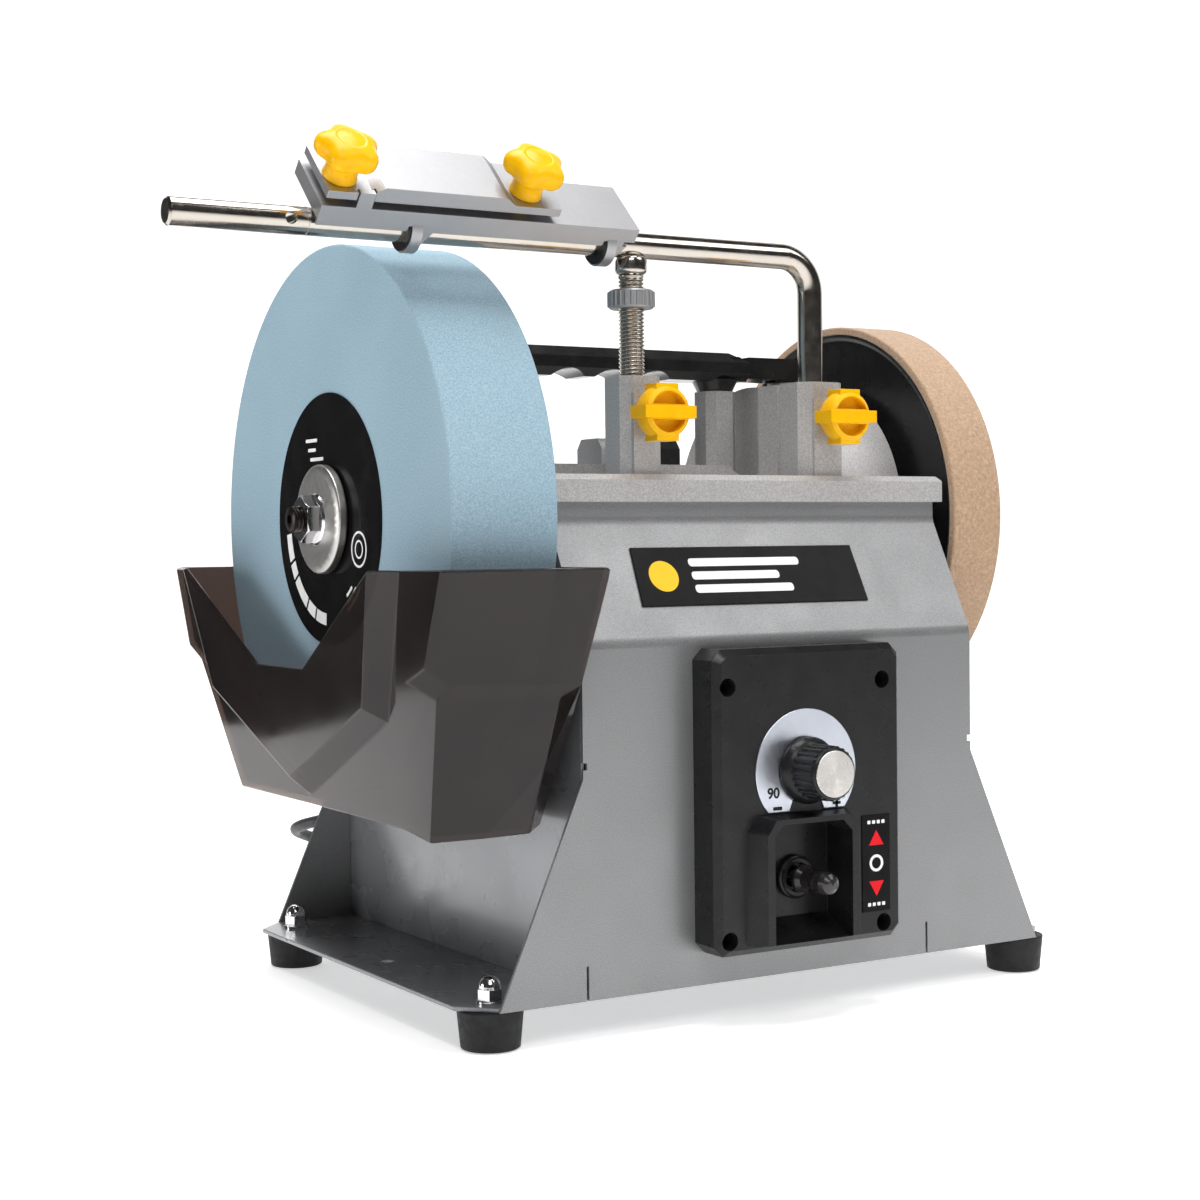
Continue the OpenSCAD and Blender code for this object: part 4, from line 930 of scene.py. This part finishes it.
def make_threaded_leg():
    """The bar's fine-threaded leg, with the barrel that joins it to the bar."""
    low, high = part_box("threaded_leg")
    centre = Vector(((low.x + high.x) / 2, (low.y + high.y) / 2, 0))
    bottom, top = low.z / MM, high.z / MM
    barrel_low = top - BARREL_HEIGHT
    rings = [round_ring(4.9, bottom), round_ring(5.6, bottom + 0.8)]
    rings += thread_rings(bottom + 0.8, barrel_low - 1.2, 5.98, 0.85)
    rings += [round_ring(r, h) for r, h in (
        (5.4, barrel_low - 0.9), (6.6, barrel_low), (7.25, barrel_low + 0.6),
        (7.4, barrel_low + 1.6), (7.4, barrel_low + 5.6), (7.1, barrel_low + 6.8),
        (6.2, barrel_low + 7.6), (4.2, barrel_low + 7.9))]
    leg = lathe_grid("threaded_leg_fine", rings, centre, Vector((0, 0, 1)), Vector((1, 0, 0)))
    stand_in(leg, "threaded_leg")


def make_shaft():
    """The main shaft, with the screw thread that shows outside the wheel nut."""
    low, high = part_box("main_shaft")
    left, right, r = low.x / MM, high.x / MM, (high.z - low.z) / MM / 2
    rings = [round_ring(2.2, left + 5), round_ring(2.2, left), round_ring(r - 1.2, left)]
    rings += [round_ring(r - 0.6, left + 0.5)]
    rings += thread_rings(left + 0.5, left + 20, r, 0.95)
    rings += [round_ring(r, left + 21), round_ring(r, right - 0.8), round_ring(r - 0.8, right)]
    centre = Vector((0, AXIS.y, AXIS.z))
    shaft = lathe_grid("main_shaft_fine", rings, centre, Vector((1, 0, 0)), Vector((0, 0, 1)))
    stand_in(shaft, "main_shaft")


# The jig's knobs, in mm and degrees: the head over its foot, the screw, and the lobes
JIG_HEAD_HEIGHT = 20
JIG_SCREW_R = 2.98
JIG_KNOB_SIDES = 100
LOBES = 5
LOBE_DEPTH = 1.35
LOBE_TURN = 20


def jig_knob_rings():
    """Rings of the soft-edged star knob: a round stem under a lobed, domed head."""
    # Each row: radius, height, and the share of the lobes' depth
    profile = [
        (7.5, 0.05, 0.0), (7.5, 1.2, 0.0), (7.1, 2.2, 0.0), (6.9, 6.2, 0.0), (7.6, 7.4, 0.0),
        (9.6, 8.2, 0.25), (11.6, 9.2, 0.8), (12.5, 10.8, 1.0), (12.9, 12.6, 1.0),
        (12.9, 14.4, 1.0), (12.4, 15.9, 0.95), (11.3, 17.2, 0.75), (9.6, 18.2, 0.4),
        (7.4, 18.9, 0.12), (6.6, 19.1, 0.0), (6.2, 18.85, 0.0), (5.6, 18.95, 0.0),
        (3.0, 19.6, 0.0), (1.0, 19.75, 0.0),
    ]
    rings = []
    for r, h, share in profile:
        ring = []
        for k in range(JIG_KNOB_SIDES):
            a = 2 * math.pi * k / JIG_KNOB_SIDES
            wave = math.cos(LOBES * a)
            wave = math.copysign(abs(wave) ** 0.8, wave)
            ring.append((r + share * LOBE_DEPTH * wave, a + math.radians(LOBE_TURN), h))
        rings.append(ring)
    return rings


def make_jig_knobs():
    """Both clamp knobs; the head's place comes from the turning joint of each."""
    for side in ("left", "right"):
        node = "jig_knob_" + side
        joint = JOINTS[node + "_turn"]
        axis = Vector(joint["axis"]).normalized()
        pivot = Vector(joint["pos_m"])
        reach = [axis.dot(v.co - pivot) for v in frame["nodes"][node].data.vertices]
        foot = pivot + axis * (max(reach) - JIG_HEAD_HEIGHT * MM)
        tip = (min(reach) - max(reach)) / MM + JIG_HEAD_HEIGHT
        screw = [round_ring(r, h, JIG_KNOB_SIDES) for r, h in (
            (JIG_SCREW_R - 0.28, tip), (JIG_SCREW_R, tip + 0.4), (JIG_SCREW_R, 0.04))]
        rings = screw + jig_knob_rings()
        knob = lathe_grid(node + "_fine", rings, foot, axis, Vector((1, 0, 0)))
        stand_in(knob, node)


# ---------------------------------------------------------------------------
# Everything in order
# ---------------------------------------------------------------------------

# Rounded edge width for each carried-over node: width in mm, segments, and the angle that counts
EDGES = {
    "top_casting": (0.9, 3, 40), "carry_handle": (2.2, 4, 28), "control_box": (0.8, 3, 40),
    "post_knob_left": (0.8, 3, 30), "post_knob_right": (0.8, 3, 30), "wheel_nut": (0.5, 2, 40),
    "wheel_washer": (0.4, 2, 40), "grinding_wheel": (0.6, 2, 40), "jig_base": (0.45, 2, 40),
    "jig_clamp_plate": (0.4, 2, 18), "speed_knob": (0.25, 2, 40),
    "toggle_collar": (0.2, 2, 40), "strop_disc": (0.8, 2, 40), "strop_leather": (0.5, 2, 40),
    "base_plate": (0.3, 2, 40), "rubber_feet": (0.5, 2, 40), "adjuster_nut": (0.3, 2, 40),
    "dial_plate": (0.2, 1, 40), "badge_plate": (0.25, 2, 40), "switch_label": (0.2, 2, 40),
    "left_side_plate": (0.25, 2, 40), "right_side_plate": (0.25, 2, 40),
    "mains_plug": (0.8, 2, 40), "access_plug": (0.6, 2, 40), "cord_gland": (0.4, 2, 40),
    "acorn_nuts": (0.3, 2, 35), "support_bar": (0.3, 2, 40),
}
# Nodes whose look differs from that of their slot
OWN_LOOK = {"carry_handle": HANDLE_PLASTIC}

make_camera()
make_stage()
make_flag()
make_lights()
make_cord()
make_trough()
make_badge_marks()
make_wheel_label_marks()
make_dial_marks()
make_switch_marks()
bent_sheet("front_sheet", (BEND_LOW[1], BEND_HIGH[1]))
bent_sheet("rear_sheet", (BEND_LOW[1], BEND_HIGH[1]))
make_threaded_leg()
make_jig_knobs()
for node, (width, segments, angle) in EDGES.items():
    refined(node, width, segments, angle, OWN_LOOK.get(node))
refined("knob_cap", 0.3, 2, 40, SPUN_METAL, middle("knob_cap"))
make_shaft()
frame["nodes"]["toggle_lever"].data.materials[0] = BOOT_RUBBER
